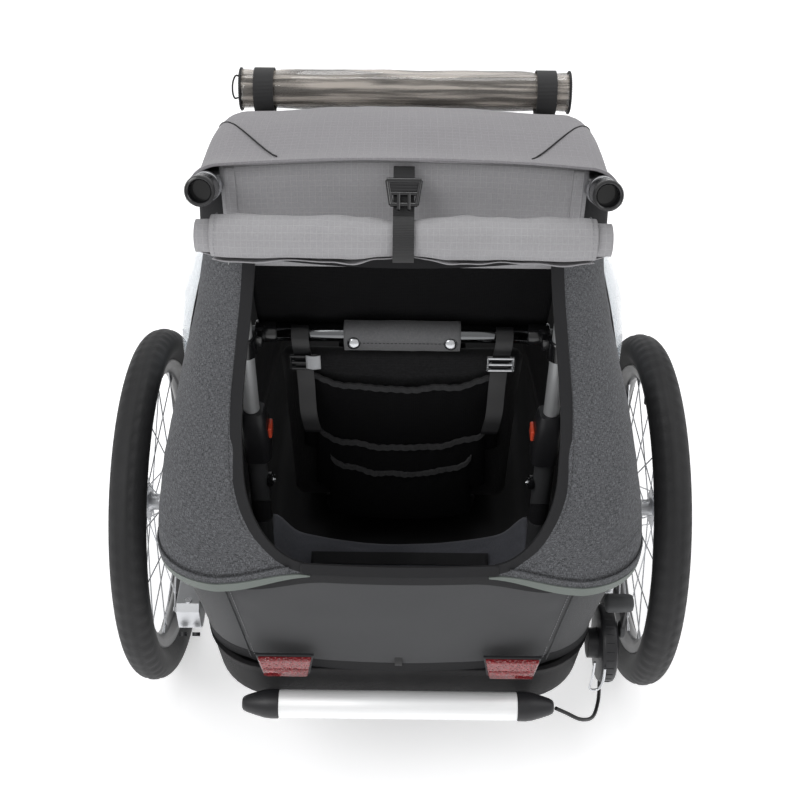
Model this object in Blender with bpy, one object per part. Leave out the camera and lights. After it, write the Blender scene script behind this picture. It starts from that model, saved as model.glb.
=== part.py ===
"""Single-seat child bicycle trailer with a folding frame, a tow arm and a stroller wheel.

X points right, Y points forwards and Z points up, in metres. The origin is on the ground under the
middle of the footprint. Every mesh is drawn with y measured forwards from the wheel axle, and its
object is then moved by AXLE_Y.
"""

import math

import bmesh
import bpy
from mathutils import Matrix, Vector

# Footprint and wheels
AXLE_Y = -0.249
WHEEL_R = 0.25
WHEEL_X = 0.341
WHEEL_STEPS = 40
SPOKES = 20
SPOKE_W = 0.0018

# Floor frame and tub
TUB_Z = 0.1855
TUB_WALL = 0.004
TUB_HALF = 0.24
TUB_REAR = -0.285
TUB_FRONT = 0.62
NOSE_HALF = 0.215
CORNER_R = 0.085
RAIL_X = 0.18
RAIL_Z = 0.2025
TUBE_R = 0.0125
GAP = 0.0004

# Fabric body
SKIRT_TOP = 0.43
COVER_TOP = 0.820
FABRIC = 0.003
SPLIT_Y = 0.03
HEM_Y = -0.172

# Upper frame: one side's path as (y, z), from the push-bar end to the nose pivot
HOOP_X = 0.19
NOSE_PIVOT = (0.60, 0.235)
HOOP_ROUTE = [
    (-0.195, 0.897), (-0.13, 0.869), (-0.04, 0.856), (0.03, 0.833), (0.10, 0.793),
    (0.20, 0.725), (0.33, 0.616), (0.45, 0.486), (0.56, 0.328), NOSE_PIVOT,
]
SOCKET_R = 0.0135
SOCKET_BORE = 0.010
SOCKET_LENGTH = 0.030

# Rear struts
STRUT_X = 0.18
STRUT_Y = -0.12
STRUT_R = 0.0095
STRUT_TOP = 0.835
JOINT_Z = 0.383
SLEEVE_R = 0.0125
SLEEVE_TOP = 0.468
KNUCKLE_TOP = 0.544
BUTTON_Z = 0.512
CROSS_Y = -0.094
CROSS_Z = 0.6425
CROSS_R = 0.011

# Suspension, brake and bumper
ARM_X = (0.2570, 0.2870)
ARM_PIVOT = (0.10, 0.1725)
AXLE_R = 0.006
BRAKE = (-0.226, 0.2326)
BRAKE_R = 0.05
BRAKE_X = 0.296
LEVER_PIVOT = (-0.226, 0.262)
BUMPER_Y = -0.315
BUMPER_Z = 0.218
BUMPER_R = 0.0175

# Tow arm and stroller wheel
TOW_PIVOT = (-0.245, 0.645)
TOW_Z = 0.29
TOW_HALF = 0.0125
TOW_END_X = 0.325
COUPLER_X = 0.345
SWIVEL_Y = 0.765
CASTER_Y = 0.73
CASTER_R = 0.10

LOOKS = {
    "tyre": ((0.018, 0.018, 0.018), 0.85, 0.0),
    "rim": ((0.02, 0.02, 0.022), 0.35, 0.6),
    "alloy": ((0.62, 0.63, 0.65), 0.32, 1.0),
    "steel": ((0.45, 0.46, 0.48), 0.3, 1.0),
    "plastic": ((0.022, 0.022, 0.024), 0.5, 0.0),
    "rubber": ((0.16, 0.17, 0.18), 0.7, 0.0),
    "red": ((0.55, 0.03, 0.02), 0.3, 0.0),
    "orange": ((0.75, 0.09, 0.03), 0.4, 0.0),
    "melange": ((0.085, 0.09, 0.095), 0.9, 0.0),
    "roof": ((0.17, 0.165, 0.175), 0.85, 0.0),
    "charcoal": ((0.035, 0.036, 0.038), 0.85, 0.0),
    "black_fabric": ((0.012, 0.012, 0.013), 0.9, 0.0),
    "film": ((0.62, 0.72, 0.80), 0.1, 0.0),
}


# Helpers

def paint(obj, look):
    color, roughness, metallic = LOOKS[look]
    material = bpy.data.materials.new(obj.name)
    material.use_nodes = True
    shader = material.node_tree.nodes["Principled BSDF"]
    shader.inputs["Base Color"].default_value = (*color, 1.0)
    shader.inputs["Roughness"].default_value = roughness
    shader.inputs["Metallic"].default_value = metallic
    obj.data.materials.append(material)


def add(name, data, look):
    obj = bpy.data.objects.new(name, data)
    obj.location.y = AXLE_Y
    bpy.context.scene.collection.objects.link(obj)
    if look:
        paint(obj, look)
    else:
        obj.hide_render = True
        obj.display_type = "WIRE"
    return obj


def solid(name, bm, look):
    bmesh.ops.remove_doubles(bm, verts=bm.verts, dist=1e-6)
    bmesh.ops.recalc_face_normals(bm, faces=bm.faces)
    mesh = bpy.data.meshes.new(name)
    bm.to_mesh(mesh)
    bm.free()
    mesh.shade_smooth()
    mesh.set_sharp_from_angle(angle=math.radians(35))
    return add(name, mesh, look)


def turned(name, profile, look, start, axis, steps=16, ring=False):
    """Turn (distance along the axis, radius) points. A ring's profile closes on itself."""
    bm = bmesh.new()
    points = list(profile)
    if not ring:
        points = [(points[0][0], 0.0), *points, (points[-1][0], 0.0)]
    half = math.pi / steps
    verts = [bm.verts.new((r / math.cos(half), 0, a)) for a, r in points]
    edges = [bm.edges.new(pair) for pair in zip(verts, verts[1:])]
    if ring:
        edges.append(bm.edges.new((verts[-1], verts[0])))
    bmesh.ops.rotate(bm, verts=verts, cent=(0, 0, 0), matrix=Matrix.Rotation(half, 3, "Z"))
    bmesh.ops.spin(bm, geom=verts + edges, cent=(0, 0, 0), axis=(0, 0, 1), dvec=(0, 0, 0),
                   angle=2 * math.pi, steps=steps, use_merge=True)
    turn = Vector(axis).to_track_quat("Z", "Y").to_matrix().to_4x4()
    bmesh.ops.transform(bm, verts=bm.verts, matrix=Matrix.Translation(start) @ turn)
    return solid(name, bm, look)


def rod(name, start, end, radius, look, steps=12):
    span = Vector(end) - Vector(start)
    return turned(name, [(0, radius), (span.length, radius)], look, start, span, steps)


def smooth_path(route, step):
    """Points about one step apart on a Catmull-Rom curve through the route."""
    points = [Vector(p) for p in route]
    ends = [2 * points[0] - points[1], *points, 2 * points[-1] - points[-2]]
    path = [points[0]]
    for a, b, c, d in zip(ends, ends[1:], ends[2:], ends[3:]):
        count = max(1, round((c - b).length / step))
        for i in range(1, count + 1):
            t = i / count
            path.append(0.5 * (2 * b + (c - a) * t + (2 * a - 5 * b + 4 * c - d) * t ** 2
                               + (3 * b - a - 3 * c + d) * t ** 3))
    return path


def tube(name, path, radius, look, resolution=3):
    curve = bpy.data.curves.new(name, "CURVE")
    curve.dimensions = "3D"
    curve.bevel_depth = radius
    curve.bevel_resolution = resolution
    curve.use_fill_caps = True
    spline = curve.splines.new("POLY")
    spline.points.add(len(path) - 1)
    for point, place in zip(spline.points, path):
        point.co = (*place, 1)
    return add(name, curve, look)


def block(name, low, high, look, bevel=0.002, segments=1):
    bm = bmesh.new()
    bmesh.ops.create_cube(bm, size=1)
    low, high = Vector(low), Vector(high)
    size = high - low
    bmesh.ops.scale(bm, vec=[abs(s) for s in size], verts=bm.verts)
    bmesh.ops.translate(bm, vec=(low + high) / 2, verts=bm.verts)
    if bevel:
        bmesh.ops.bevel(bm, geom=bm.edges, offset=bevel, segments=segments, affect="EDGES",
                        profile=0.5)
    return solid(name, bm, look)


def prism(name, outline, axis, low, high, look):
    """Extrude an outline along X from (y, z) points, along Y from (x, z) or along Z from (x, y)."""
    def corner(u, v, along):
        return {"X": (along, u, v), "Y": (u, along, v), "Z": (u, v, along)}[axis]
    return loft(name, [[corner(u, v, end) for u, v in outline] for end in (low, high)], look)


def loft(name, loops, look):
    """Close a stack of loops with as many points each, with a flat cap at each end."""
    bm = bmesh.new()
    rings = [[bm.verts.new(p) for p in loop] for loop in loops]
    for below, above in zip(rings, rings[1:]):
        for i in range(len(below)):
            j = (i + 1) % len(below)
            bm.faces.new((below[i], below[j], above[j], above[i]))
    bm.faces.new(rings[0])
    bm.faces.new(rings[-1])
    return solid(name, bm, look)


def sheet(name, rows, look, thickness=FABRIC):
    """A sewn panel through a grid of points."""
    bm = bmesh.new()
    grid = [[bm.verts.new(p) for p in row] for row in rows]
    for below, above in zip(grid, grid[1:]):
        for i in range(len(below) - 1):
            bm.faces.new((below[i], below[i + 1], above[i + 1], above[i]))
    obj = solid(name, bm, look)
    thick = obj.modifiers.new("thickness", "SOLIDIFY")
    thick.thickness = thickness
    thick.offset = 0
    return obj


def join(obj, *others):
    for other in others:
        combine(obj, other, "UNION")
    return obj


def cut(obj, *others):
    for other in others:
        combine(obj, other, "DIFFERENCE")
    return obj


def combine(obj, other, operation):
    change = obj.modifiers.new(other.name, "BOOLEAN")
    change.operation = operation
    change.solver = "EXACT"
    change.object = other


def pivot(name, place, pieces, parent=None):
    """An empty on a joint's axis, which carries the pieces that move about it."""
    empty = bpy.data.objects.new(name, None)
    x, y, z = place
    empty.location = (x, y + AXLE_Y, z)
    bpy.context.scene.collection.objects.link(empty)
    if parent:
        empty.parent = parent
        empty.matrix_parent_inverse = Matrix.Translation(-pivot_places[parent.name])
    pivot_places[name] = Vector(empty.location)
    for piece in pieces:
        piece.parent = empty
        piece.matrix_parent_inverse = Matrix.Translation(-pivot_places[name])
    return empty


pivot_places = {}


def ease(t):
    t = min(max(t, 0.0), 1.0)
    return t * t * (3 - 2 * t)


def spread(low, high, count):
    return [low + (high - low) * i / (count - 1) for i in range(count)]


# Shape of the fabric body

def hoop_path(x):
    return smooth_path([(x, y, z) for y, z in HOOP_ROUTE], 0.045)


def hoop_z(y, lift=0.0):
    """Height of the hoop's centre line, or of a line that runs beside it at a distance of lift."""
    path = hoop_path(0)
    for a, b in zip(path, path[1:]):
        if y <= b.y or b is path[-1]:
            return a.z + (b.z - a.z) * (y - a.y) / (b.y - a.y) + lift * (b - a).length / (b.y - a.y)


def tub_rim(y):
    """Height of the tub's wall, which rises towards the nose."""
    return 0.262 + 0.05 * ease((y - 0.25) / 0.3)


def skirt_half(y, z):
    """Half the width below the covers, which flares upwards and narrows to the nose."""
    wide = TUB_HALF + 0.036 * max(0.0, (z - 0.20) / 0.23) ** 1.6
    return wide + (NOSE_HALF - wide) * ease((y - 0.2) / 0.4)


def cover_half(y, z):
    forward = 1 - 0.9 * ease((y - 0.1) / 0.5)
    return 0.207 + 0.08 * ease((0.85 - z) / 0.42) * forward


def cover_rear(z):
    return -0.30 + 0.307 * (z - 0.46)


def opening_half(z):
    """Half the width of the rear opening, widest at mid height and rounded at the bottom."""
    upper = 0.195 - 0.035 * ease((z - 0.59) / 0.23)
    return upper - 0.075 * (1 - ease((z - 0.44) / 0.13))


def corner_path(half, rear, front, inner, counts):
    """One side of a horizontal section: along the rear face, round the corner and forwards."""
    face, arc, side = counts
    centre = Vector((half(rear + CORNER_R) - CORNER_R, rear + CORNER_R))
    points = [(x, rear + 0.012 * (x / centre.x) ** 2) for x in spread(inner, centre.x, face)[:-1]]
    start = rear + 0.012
    for i in range(arc):
        angle = math.pi / 2 * i / (arc - 1)
        points.append((centre.x + CORNER_R * math.sin(angle),
                       centre.y - (centre.y - start) * math.cos(angle)))
    points += [(half(y), y) for y in spread(centre.y, front, side)[1:]]
    return points


# Parts of the trailer

def main_wheel(side, word):
    x = side * WHEEL_X
    out = (side, 0, 0)
    tread = [(-0.0120, 0.2068), (-0.0200, 0.2150), (-0.0235, 0.2275), (-0.0205, 0.2400),
             (-0.0100, 0.2485), (0.0100, 0.2485), (0.0205, 0.2400), (0.0235, 0.2275),
             (0.0200, 0.2150), (0.0120, 0.2068)]
    scale = WHEEL_R / 0.2485
    crown = [(a, r if r < 0.24 else r * scale) for a, r in tread]
    tyre = turned("tyre_" + word, crown, "tyre", (x, 0, WHEEL_R), out, WHEEL_STEPS, ring=True)
    channel = [(-0.0125, 0.2062), (-0.0125, 0.1960), (-0.0080, 0.1870), (0.0080, 0.1870),
               (0.0125, 0.1960), (0.0125, 0.2062)]
    rim = turned("rim_" + word, channel, "rim", (x, 0, WHEEL_R), out, WHEEL_STEPS, ring=True)
    barrel = [(-0.028, AXLE_R + GAP), (-0.028, 0.011), (-0.024, 0.014), (-0.024, 0.026),
              (-0.020, 0.026), (-0.018, 0.014), (0.018, 0.014), (0.020, 0.026),
              (0.024, 0.026), (0.024, 0.014), (0.028, 0.011), (0.028, AXLE_R + GAP)]
    hub = turned("hub_" + word, barrel, "alloy", (x, 0, WHEEL_R), out, ring=True)
    bm = bmesh.new()
    for i in range(SPOKES):
        flange = 0.022 if i % 2 else -0.022
        lean = 0.9 if i % 2 else -0.9
        turn = 2 * math.pi * i / SPOKES
        inner = Vector((flange, 0.0235 * math.cos(turn + lean), 0.0235 * math.sin(turn + lean)))
        outer = Vector((flange * 0.12, 0.1862 * math.cos(turn), 0.1862 * math.sin(turn)))
        along = outer - inner
        made = bmesh.ops.create_cube(bm, size=1)["verts"]
        bmesh.ops.scale(bm, vec=(SPOKE_W, SPOKE_W, along.length), verts=made)
        place = Matrix.Translation((inner + outer) / 2) @ along.to_track_quat("Z", "X").to_matrix().to_4x4()
        bmesh.ops.transform(bm, matrix=place, verts=made)
    bmesh.ops.translate(bm, vec=(x, 0, WHEEL_R), verts=bm.verts)
    join(hub, solid("spoke_guide_" + word, bm, None))
    return [tyre, rim, hub]


def suspension(side, word):
    """A trailing arm on a rubber bush, with the wheel's push-in axle."""
    low, high = sorted(side * x for x in ARM_X)
    rear = -0.215 if side < 0 else -0.150
    y, z = ARM_PIVOT
    outline = [(y + 0.020, z - 0.012), (y + 0.024, z + 0.006), (y + 0.012, z + 0.024),
               (0.030, 0.262), (0.016, 0.276), (-0.016, 0.278), (rear + 0.04, 0.290),
               (rear, 0.290), (rear - 0.008, 0.282), (rear - 0.008, 0.250), (rear, 0.243),
               (-0.016, 0.228), (0.020, 0.226), (y - 0.022, z + 0.010), (y - 0.020, z - 0.008),
               (y - 0.008, z - 0.018), (y + 0.008, z - 0.018)]
    arm = prism("swing_arm_" + word, outline, "X", low, high, "alloy")
    hole = rod("pivot_hole_" + word, (low - 0.01, y, z), (high + 0.01, y, z), 0.0125, None)
    socket = rod("axle_hole_" + word, (low - 0.01, 0, WHEEL_R), (high + 0.01, 0, WHEEL_R),
                 AXLE_R + GAP, None)
    cut(arm, hole, socket)
    bush = turned("suspension_bush_" + word, [(0, 0.0062), (0, 0.0121), (0.029, 0.0121), (0.029, 0.0062)],
                  "rubber", (side * 0.2575, y, z), (side, 0, 0), ring=True)
    axle = turned("wheel_axle_" + word,
                  [(0, 0.009), (0.0035, 0.009), (0.0035, AXLE_R), (0.120, AXLE_R),
                   (0.120, 0.0105), (0.124, 0.0115), (0.1275, 0.009)],
                  "steel", (side * 0.2495, 0, WHEEL_R), (side, 0, 0))
    return [arm, axle], bush


def floor_frame():
    for side, word in ((-1, "left"), (1, "right")):
        x = side * RAIL_X
        rod("floor_rail_" + word, (x, -0.262, RAIL_Z), (x, 0.572, RAIL_Z), TUBE_R, "alloy")
    y, z = ARM_PIVOT
    beam = block("axle_beam", (-0.2560, 0.085, 0.1605), (0.2560, 0.115, TUB_Z - GAP), "plastic")
    stub = rod("beam_stub", (-0.2872, y, z), (0.2872, y, z), 0.0058, None)
    join(beam, stub)
    front = rod("front_cross_tube", (-0.195, 0.585, RAIL_Z), (0.195, 0.585, RAIL_Z), TUBE_R, "alloy")
    for side, word in ((-1, "left"), (1, "right")):
        low, high = sorted((side * 0.1690, side * 0.1768))
        lug = prism("lug_" + word, [(0.575, RAIL_Z), (0.600, RAIL_Z), (0.611, 0.226), (0.611, 0.240),
                                    (0.605, 0.2475), (0.594, 0.2475), (0.585, 0.238)], "X", low, high, None)
        join(front, lug)
    rod("rear_cross_tube", (-0.1672, -0.25, RAIL_Z), (0.1672, -0.25, RAIL_Z), TUBE_R, "alloy")
    tub()
    for side, word in ((-1, "left"), (1, "right")):
        x = side * STRUT_X
        low = RAIL_Z + TUBE_R + GAP
        upright = turned("lower_upright_" + word,
                         [(0, 0.0165), (0.012, 0.0165), (0.016, 0.0110), (0.135, 0.0110),
                          (0.138, SLEEVE_R), (JOINT_Z - low, SLEEVE_R)],
                         "plastic", (x, STRUT_Y, low), (0, 0, 1))
        mitre(upright, JOINT_Z - GAP)


def mitre(obj, z):
    """Slant the end that lies near z by 45 degrees, so that it falls towards the front."""
    for vertex in obj.data.vertices:
        if abs(vertex.co.z - z) < 0.006:
            vertex.co.z = z - (vertex.co.y - STRUT_Y)


def tub():
    def outline(grow, z, count=7):
        """A closed plan with round corners, wide at the back and narrower at the nose."""
        half = TUB_HALF + grow
        corners = [(half, TUB_REAR - grow, CORNER_R, -90), (NOSE_HALF + grow, TUB_FRONT + grow, 0.03, 0),
                   (-NOSE_HALF - grow, TUB_FRONT + grow, 0.03, 90), (-half, TUB_REAR - grow, CORNER_R, 180)]
        points = []
        for x, y, r, first in corners:
            centre = Vector((x - math.copysign(r, x), y - math.copysign(r, y)))
            for angle in spread(math.radians(first), math.radians(first + 90), count):
                points.append((centre.x + r * math.cos(angle), centre.y + r * math.sin(angle)))
            if first == -90:
                points += [(skirt_half(v, 0.19) + grow, v) for v in (0.2, 0.33, 0.45)]
            if first == 90:
                points += [(-skirt_half(v, 0.19) - grow, v) for v in (0.45, 0.33, 0.2)]
        return [(x, y, z(y)) for x, y in points]

    loft("floor_tub",
         [outline(-0.006, lambda y: TUB_Z), outline(0, lambda y: TUB_Z + 0.006), outline(0.006, tub_rim),
          outline(0.002, tub_rim), outline(-TUB_WALL, lambda y: TUB_Z + 0.010),
          outline(-0.008, lambda y: TUB_Z + TUB_WALL)], "plastic")


def lower_back_panel():
    """The dark skirt between the tub and the covers, round the back and both sides."""
    rows = []
    for v in spread(0, 1, 6):
        def height(y):
            return (1 - v) * (tub_rim(y) + 0.006) + v * (SKIRT_TOP - 0.002)
        right = corner_path(lambda y: skirt_half(y, height(y)) + 0.001,
                            -0.2905 - 0.007 * v, 0.50, 0.0, (4, 6, 7))
        left = [(-x, y) for x, y in reversed(right[1:])]
        rows.append([(x, y, height(y)) for x, y in left + right])
    sheet("lower_back_panel", rows, "charcoal")


def bumper():
    rod("bumper_tube", (-0.15, BUMPER_Y, BUMPER_Z), (0.15, BUMPER_Y, BUMPER_Z), BUMPER_R, "alloy", 20)
    for side, word in ((-1, "left"), (1, "right")):
        profile = [(0, 0.0185), (0.034, 0.0180), (0.043, 0.013), (0.046, 0.006)]
        end = turned("bumper_end_" + word, profile, "plastic", (side * (0.15 + GAP), BUMPER_Y, BUMPER_Z),
                     (side, 0, 0))
        low, high = sorted((side * 0.158, side * 0.170))
        stay = prism("stay_" + word, [(-0.10, 0.178), (-0.10, TUB_Z - GAP), (-0.296, TUB_Z - GAP),
                                      (BUMPER_Y, 0.204), (BUMPER_Y - 0.006, 0.196), (-0.300, 0.174)],
                     "X", low, high, None)
        join(end, stay)
        reflector(side, word)


def reflector(side, word):
    x = side * 0.139
    face = [(-0.034, 0.020), (0.034, 0.020), (0.028, -0.016), (-0.028, -0.016)]
    y = -0.3010
    outer = [(x + u, y - 0.010 + 0.0008 * v, 0.285 + v) for u, v in face]
    inner = [(x + 1.06 * u, y, 0.285 + 1.06 * v) for u, v in face]
    loft("reflector_" + word, [inner, outer], "red")


def seat():
    cushion = block("seat_cushion", (-0.150, -0.005, TUB_Z + TUB_WALL + GAP), (0.150, 0.265, 0.300),
                    "black_fabric", 0.02, 3)
    back = block("seat_back", (-0.155, -0.015, 0.0), (0.155, 0.015, 0.332), "black_fabric", 0.012, 2)
    harness = prism("harness", harness_outline(), "Y", 0.0156, 0.0215, "plastic")
    lean = Matrix.Translation((0, -0.020, 0.292)) @ Matrix.Rotation(math.radians(11), 4, "X")
    for piece in (back, harness):
        piece.data.transform(lean)
    return cushion, back, harness


def harness_outline():
    """Two shoulder straps that meet at a buckle, as (x, height along the seat back)."""
    right = [(0.018, 0.020), (0.018, 0.062), (0.070, 0.150), (0.070, 0.315), (0.038, 0.315),
             (0.038, 0.160), (0.0, 0.085)]
    left = [(-x, z) for x, z in reversed(right[:-1])]
    return right + left


def upper_frame():
    pieces = []
    for side, word in ((-1, "left"), (1, "right")):
        x = side * HOOP_X
        route = hoop_path(x)
        pieces.append(tube("hoop_" + word, route, TUBE_R, "alloy"))
        out = (route[0] - route[1]).normalized()
        ring = [(0, SOCKET_BORE), (0, SOCKET_R), (SOCKET_LENGTH, SOCKET_R), (SOCKET_LENGTH, SOCKET_BORE)]
        socket = turned("push_bar_socket_" + word, ring, "plastic", route[0] + out * GAP, out, ring=True)
        close_ring(socket, route[0] + out * (GAP + 0.003), out, word)
        pieces.append(socket)
    y = 0.20
    end = HOOP_X - TUBE_R - GAP
    pieces.append(rod("roof_cross_tube", (-end, y, hoop_z(y)), (end, y, hoop_z(y)), 0.009, "alloy"))
    return pieces


def close_ring(socket, place, out, word):
    """A web across the socket's bottom, so that its bore is blind."""
    web = turned("socket_web_" + word, [(-0.003, 0.012), (0.001, 0.012)], None, place, out)
    join(socket, web)


def roof():
    shoulder_x, shoulder_r, flap = 0.176, 0.036, 0.004
    profile = [(x, 0.008 * (1 - (x / shoulder_x) ** 2)) for x in spread(0, shoulder_x, 5)]
    for angle in spread(0, math.pi / 2, 7)[1:]:
        profile.append((shoulder_x + shoulder_r * math.sin(angle), -shoulder_r * (1 - math.cos(angle))))
    profile.append((shoulder_x + shoulder_r, -shoulder_r - flap))
    full = [(-x, z) for x, z in reversed(profile[1:])] + profile
    rows = []
    for y in spread(HEM_Y, 0.120, 10):
        base = hoop_z(y, TUBE_R + 0.0035) + 0.0045
        rows.append([(x, y, base + z) for x, z in full])
    canopy = sheet("canopy", rows, "roof", 0.0025)
    panel = []
    for t in spread(0, 1, 4):
        y, z = -0.150 - 0.018 * t, 0.878 - 0.088 * t
        panel.append([(x, y, z) for x in spread(-0.164, 0.164, 5)])
    back = sheet("upper_back_panel", panel, "roof", 0.004)
    roll = turned("rear_cover_roll",
                  [(0, 0.020), (0.004, 0.0255), (0.12, 0.029), (0.20, 0.0275), (0.28, 0.029),
                   (0.398, 0.0255), (0.402, 0.020)],
                  "roof", (-0.201, -0.214, 0.838), (1, 0, 0))
    strap = prism("roll_strap", strap_outline((-0.214, 0.838), 0.0315, 0.0335, -60, 100), "X", -0.011, 0.011,
                  "black_fabric")
    window = turned("window_roll", [(0, 0.022), (0.004, 0.027), (0.396, 0.027), (0.4, 0.022)], "film",
                    (-0.2, 0.155, 0.819), (1, 0, 0))
    return [canopy, back, roll, strap, window]


def strap_outline(centre, inner, outer, first, last):
    """A band that follows a circle from one angle to the other, seen along X."""
    def arc(radius, angles):
        return [(centre[0] - radius * math.cos(a), centre[1] + radius * math.sin(a)) for a in angles]
    angles = [math.radians(a) for a in spread(first, last, 12)]
    return arc(inner, angles) + arc(outer, reversed(angles))


def side_covers():
    pieces = []
    for side, word in ((-1, "left"), (1, "right")):
        rows = []
        for v in spread(0, 1, 10):
            z = SKIRT_TOP + (COVER_TOP - SKIRT_TOP) * v
            path = corner_path(lambda y: cover_half(y, z), cover_rear(z), SPLIT_Y, opening_half(z), (4, 6, 4))
            rows.append([(side * x, y, z) for x, y in path])
        pieces.append(sheet("side_cover_" + word, rows, "melange"))
        rows = []
        for v in spread(0, 1, 9):
            row = []
            for y in spread(SPLIT_Y + 0.0035, 0.455, 10):
                top = hoop_z(y) - 0.024
                z = 0.445 + (top - 0.445) * v
                along = (y - SPLIT_Y) / 0.425
                bulge = 0.048 * math.sin(math.pi * v ** 0.8) * math.sin(math.pi * along ** 0.62)
                row.append((side * (cover_half(y, z) + bulge), y, z))
            rows.append(row)
        pieces.append(sheet("side_window_" + word, rows, "film", 0.002))
    return pieces


def rear_struts():
    pieces = []
    buttons = []
    for side, word in ((-1, "left"), (1, "right")):
        x = side * STRUT_X
        strut = turned("rear_strut_" + word,
                       [(0, SLEEVE_R), (SLEEVE_TOP - JOINT_Z, SLEEVE_R), (SLEEVE_TOP - JOINT_Z, STRUT_R),
                        (STRUT_TOP - JOINT_Z, STRUT_R)],
                       "alloy", (x, STRUT_Y, JOINT_Z), (0, 0, 1))
        mitre(strut, JOINT_Z + GAP)
        knuckle = prism("strut_knuckle_" + word,
                        [(-0.140, SLEEVE_TOP + GAP), (-0.100, SLEEVE_TOP + GAP), (-0.098, 0.505),
                         (-0.104, KNUCKLE_TOP), (-0.136, KNUCKLE_TOP - 0.014), (-0.142, 0.500)],
                        "X", *sorted((side * 0.160, side * 0.1935)), "plastic")
        bore = rod("knuckle_bore_" + word, (x, STRUT_Y, 0.44), (x, STRUT_Y, 0.58), STRUT_R + GAP, None, 16)
        pocket = block("button_pocket_" + word, (side * 0.150, STRUT_Y - 0.0104, BUTTON_Z - 0.0084),
                       (side * 0.1668, STRUT_Y + 0.0104, BUTTON_Z + 0.0084), None, 0)
        cut(knuckle, bore, pocket)
        button = block("release_button_" + word, (side * 0.1572, STRUT_Y - 0.0100, BUTTON_Z - 0.0080),
                       (side * 0.1622, STRUT_Y + 0.0100, BUTTON_Z + 0.0080), "orange", 0.0015)
        pieces += [strut, knuckle]
        buttons.append(button)
    end = STRUT_X - STRUT_R - 0.0006
    cross = turned("seat_cross_tube",
                   [(0, 0.0125), (0.024, 0.0125), (0.024, CROSS_R), (2 * end - 0.024, CROSS_R),
                    (2 * end - 0.024, 0.0125), (2 * end, 0.0125)],
                   "alloy", (-end, CROSS_Y, CROSS_Z), (1, 0, 0))
    loop = turned("grab_loop", [(0, CROSS_R + GAP), (0, 0.0150), (0.134, 0.0150), (0.134, CROSS_R + GAP)],
                  "charcoal", (-0.067, CROSS_Y, CROSS_Z), (1, 0, 0), ring=True)
    return pieces + [cross, loop], buttons


def parking_brake():
    y, z = BRAKE
    housing = turned("brake_housing",
                     [(0, 0.020), (0.0155, 0.020), (0.0155, BRAKE_R - 0.006), (0.020, BRAKE_R),
                      (0.040, BRAKE_R), (0.0455, BRAKE_R - 0.010), (0.0495, 0.022)],
                     "plastic", (0.2465, y, z), (1, 0, 0), 24)
    y, z = LEVER_PIVOT
    lever = turned("brake_lever", [(0, 0.011), (0.006, 0.011)], "rubber", (BRAKE_X + 0.0008, y, z), (1, 0, 0))
    plate = prism("lever_plate", [(y - 0.006, z), (y + 0.006, z), (y, 0.325), (y - 0.010, 0.325)],
                  "X", BRAKE_X + 0.0010, BRAKE_X + 0.0055, None)
    grip = loft("lever_grip", [[(x, y + u - 0.008 * t, 0.304 + v + 0.012 * t) for u, v in
                                ((-0.014, 0), (0.012, 0), (0.014, 0.012), (0.004, 0.024), (-0.012, 0.022))]
                               for x, t in ((0.264, 0), (0.285, 0.4), (0.3035, 1))], None)
    join(lever, plate, grip)
    route = [(0.272, -0.238, 0.1815), (0.272, -0.246, 0.172), (0.268, -0.268, 0.163), (0.255, -0.296, 0.168),
             (0.235, -0.312, 0.186), (0.214, -0.3145, 0.204), (0.1995, -0.315, 0.2150)]
    tube("brake_cable", smooth_path(route, 0.0075), 0.0025, "plastic", 2)
    return lever


def tow_arm():
    x, y = TOW_PIVOT
    jaws = [(0.560, 0.262), (0.664, 0.262), (0.664, 0.270), (0.614, 0.270),
            (0.614, 0.310), (0.664, 0.310), (0.664, 0.318), (0.560, 0.318)]
    bracket = prism("tow_bracket", jaws, "X", -0.2620, -0.2285, "plastic")
    pin = rod("tow_pin", (x, y, 0.265), (x, y, 0.315), 0.0048, None)
    join(bracket, pin)
    eye = [(-0.0192, 0.0052), (-0.0192, 0.0145), (0.0192, 0.0145), (0.0192, 0.0052)]
    arm = turned("tow_arm", eye, "alloy", (x, y, TOW_Z), (0, 0, 1), ring=True)
    bar = block("tow_bar", (x + 0.010, y - TOW_HALF, TOW_Z - TOW_HALF),
                (TOW_END_X, y + TOW_HALF, TOW_Z + TOW_HALF), None, 0.003)
    fork = prism("coupler_fork", [(TOW_END_X - 0.004, TOW_Z - 0.016), (TOW_END_X - 0.004, TOW_Z + 0.016),
                                  (COUPLER_X + 0.010, TOW_Z + 0.016), (COUPLER_X + 0.010, TOW_Z + 0.011),
                                  (TOW_END_X + 0.004, TOW_Z + 0.011), (TOW_END_X + 0.004, TOW_Z - 0.011),
                                  (COUPLER_X + 0.010, TOW_Z - 0.011), (COUPLER_X + 0.010, TOW_Z - 0.016)],
                 "Y", y - 0.010, y + 0.010, None)
    axle = rod("coupler_pin", (COUPLER_X, y, TOW_Z - 0.0135), (COUPLER_X, y, TOW_Z + 0.0135), 0.0038, None)
    join(arm, bar, fork, axle)
    hub = [(-0.0105, 0.0042), (-0.0105, 0.0095), (0.0105, 0.0095), (0.0105, 0.0042)]
    coupler = turned("tow_coupler", hub, "plastic", (COUPLER_X, y, TOW_Z), (0, 0, 1), ring=True)
    tongue = block("coupler_tongue", (COUPLER_X + 0.0065, y - 0.008, TOW_Z - 0.010),
                   (COUPLER_X + 0.0270, y + 0.008, TOW_Z + 0.010), None, 0.002)
    join(coupler, tongue)
    return arm, coupler


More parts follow.
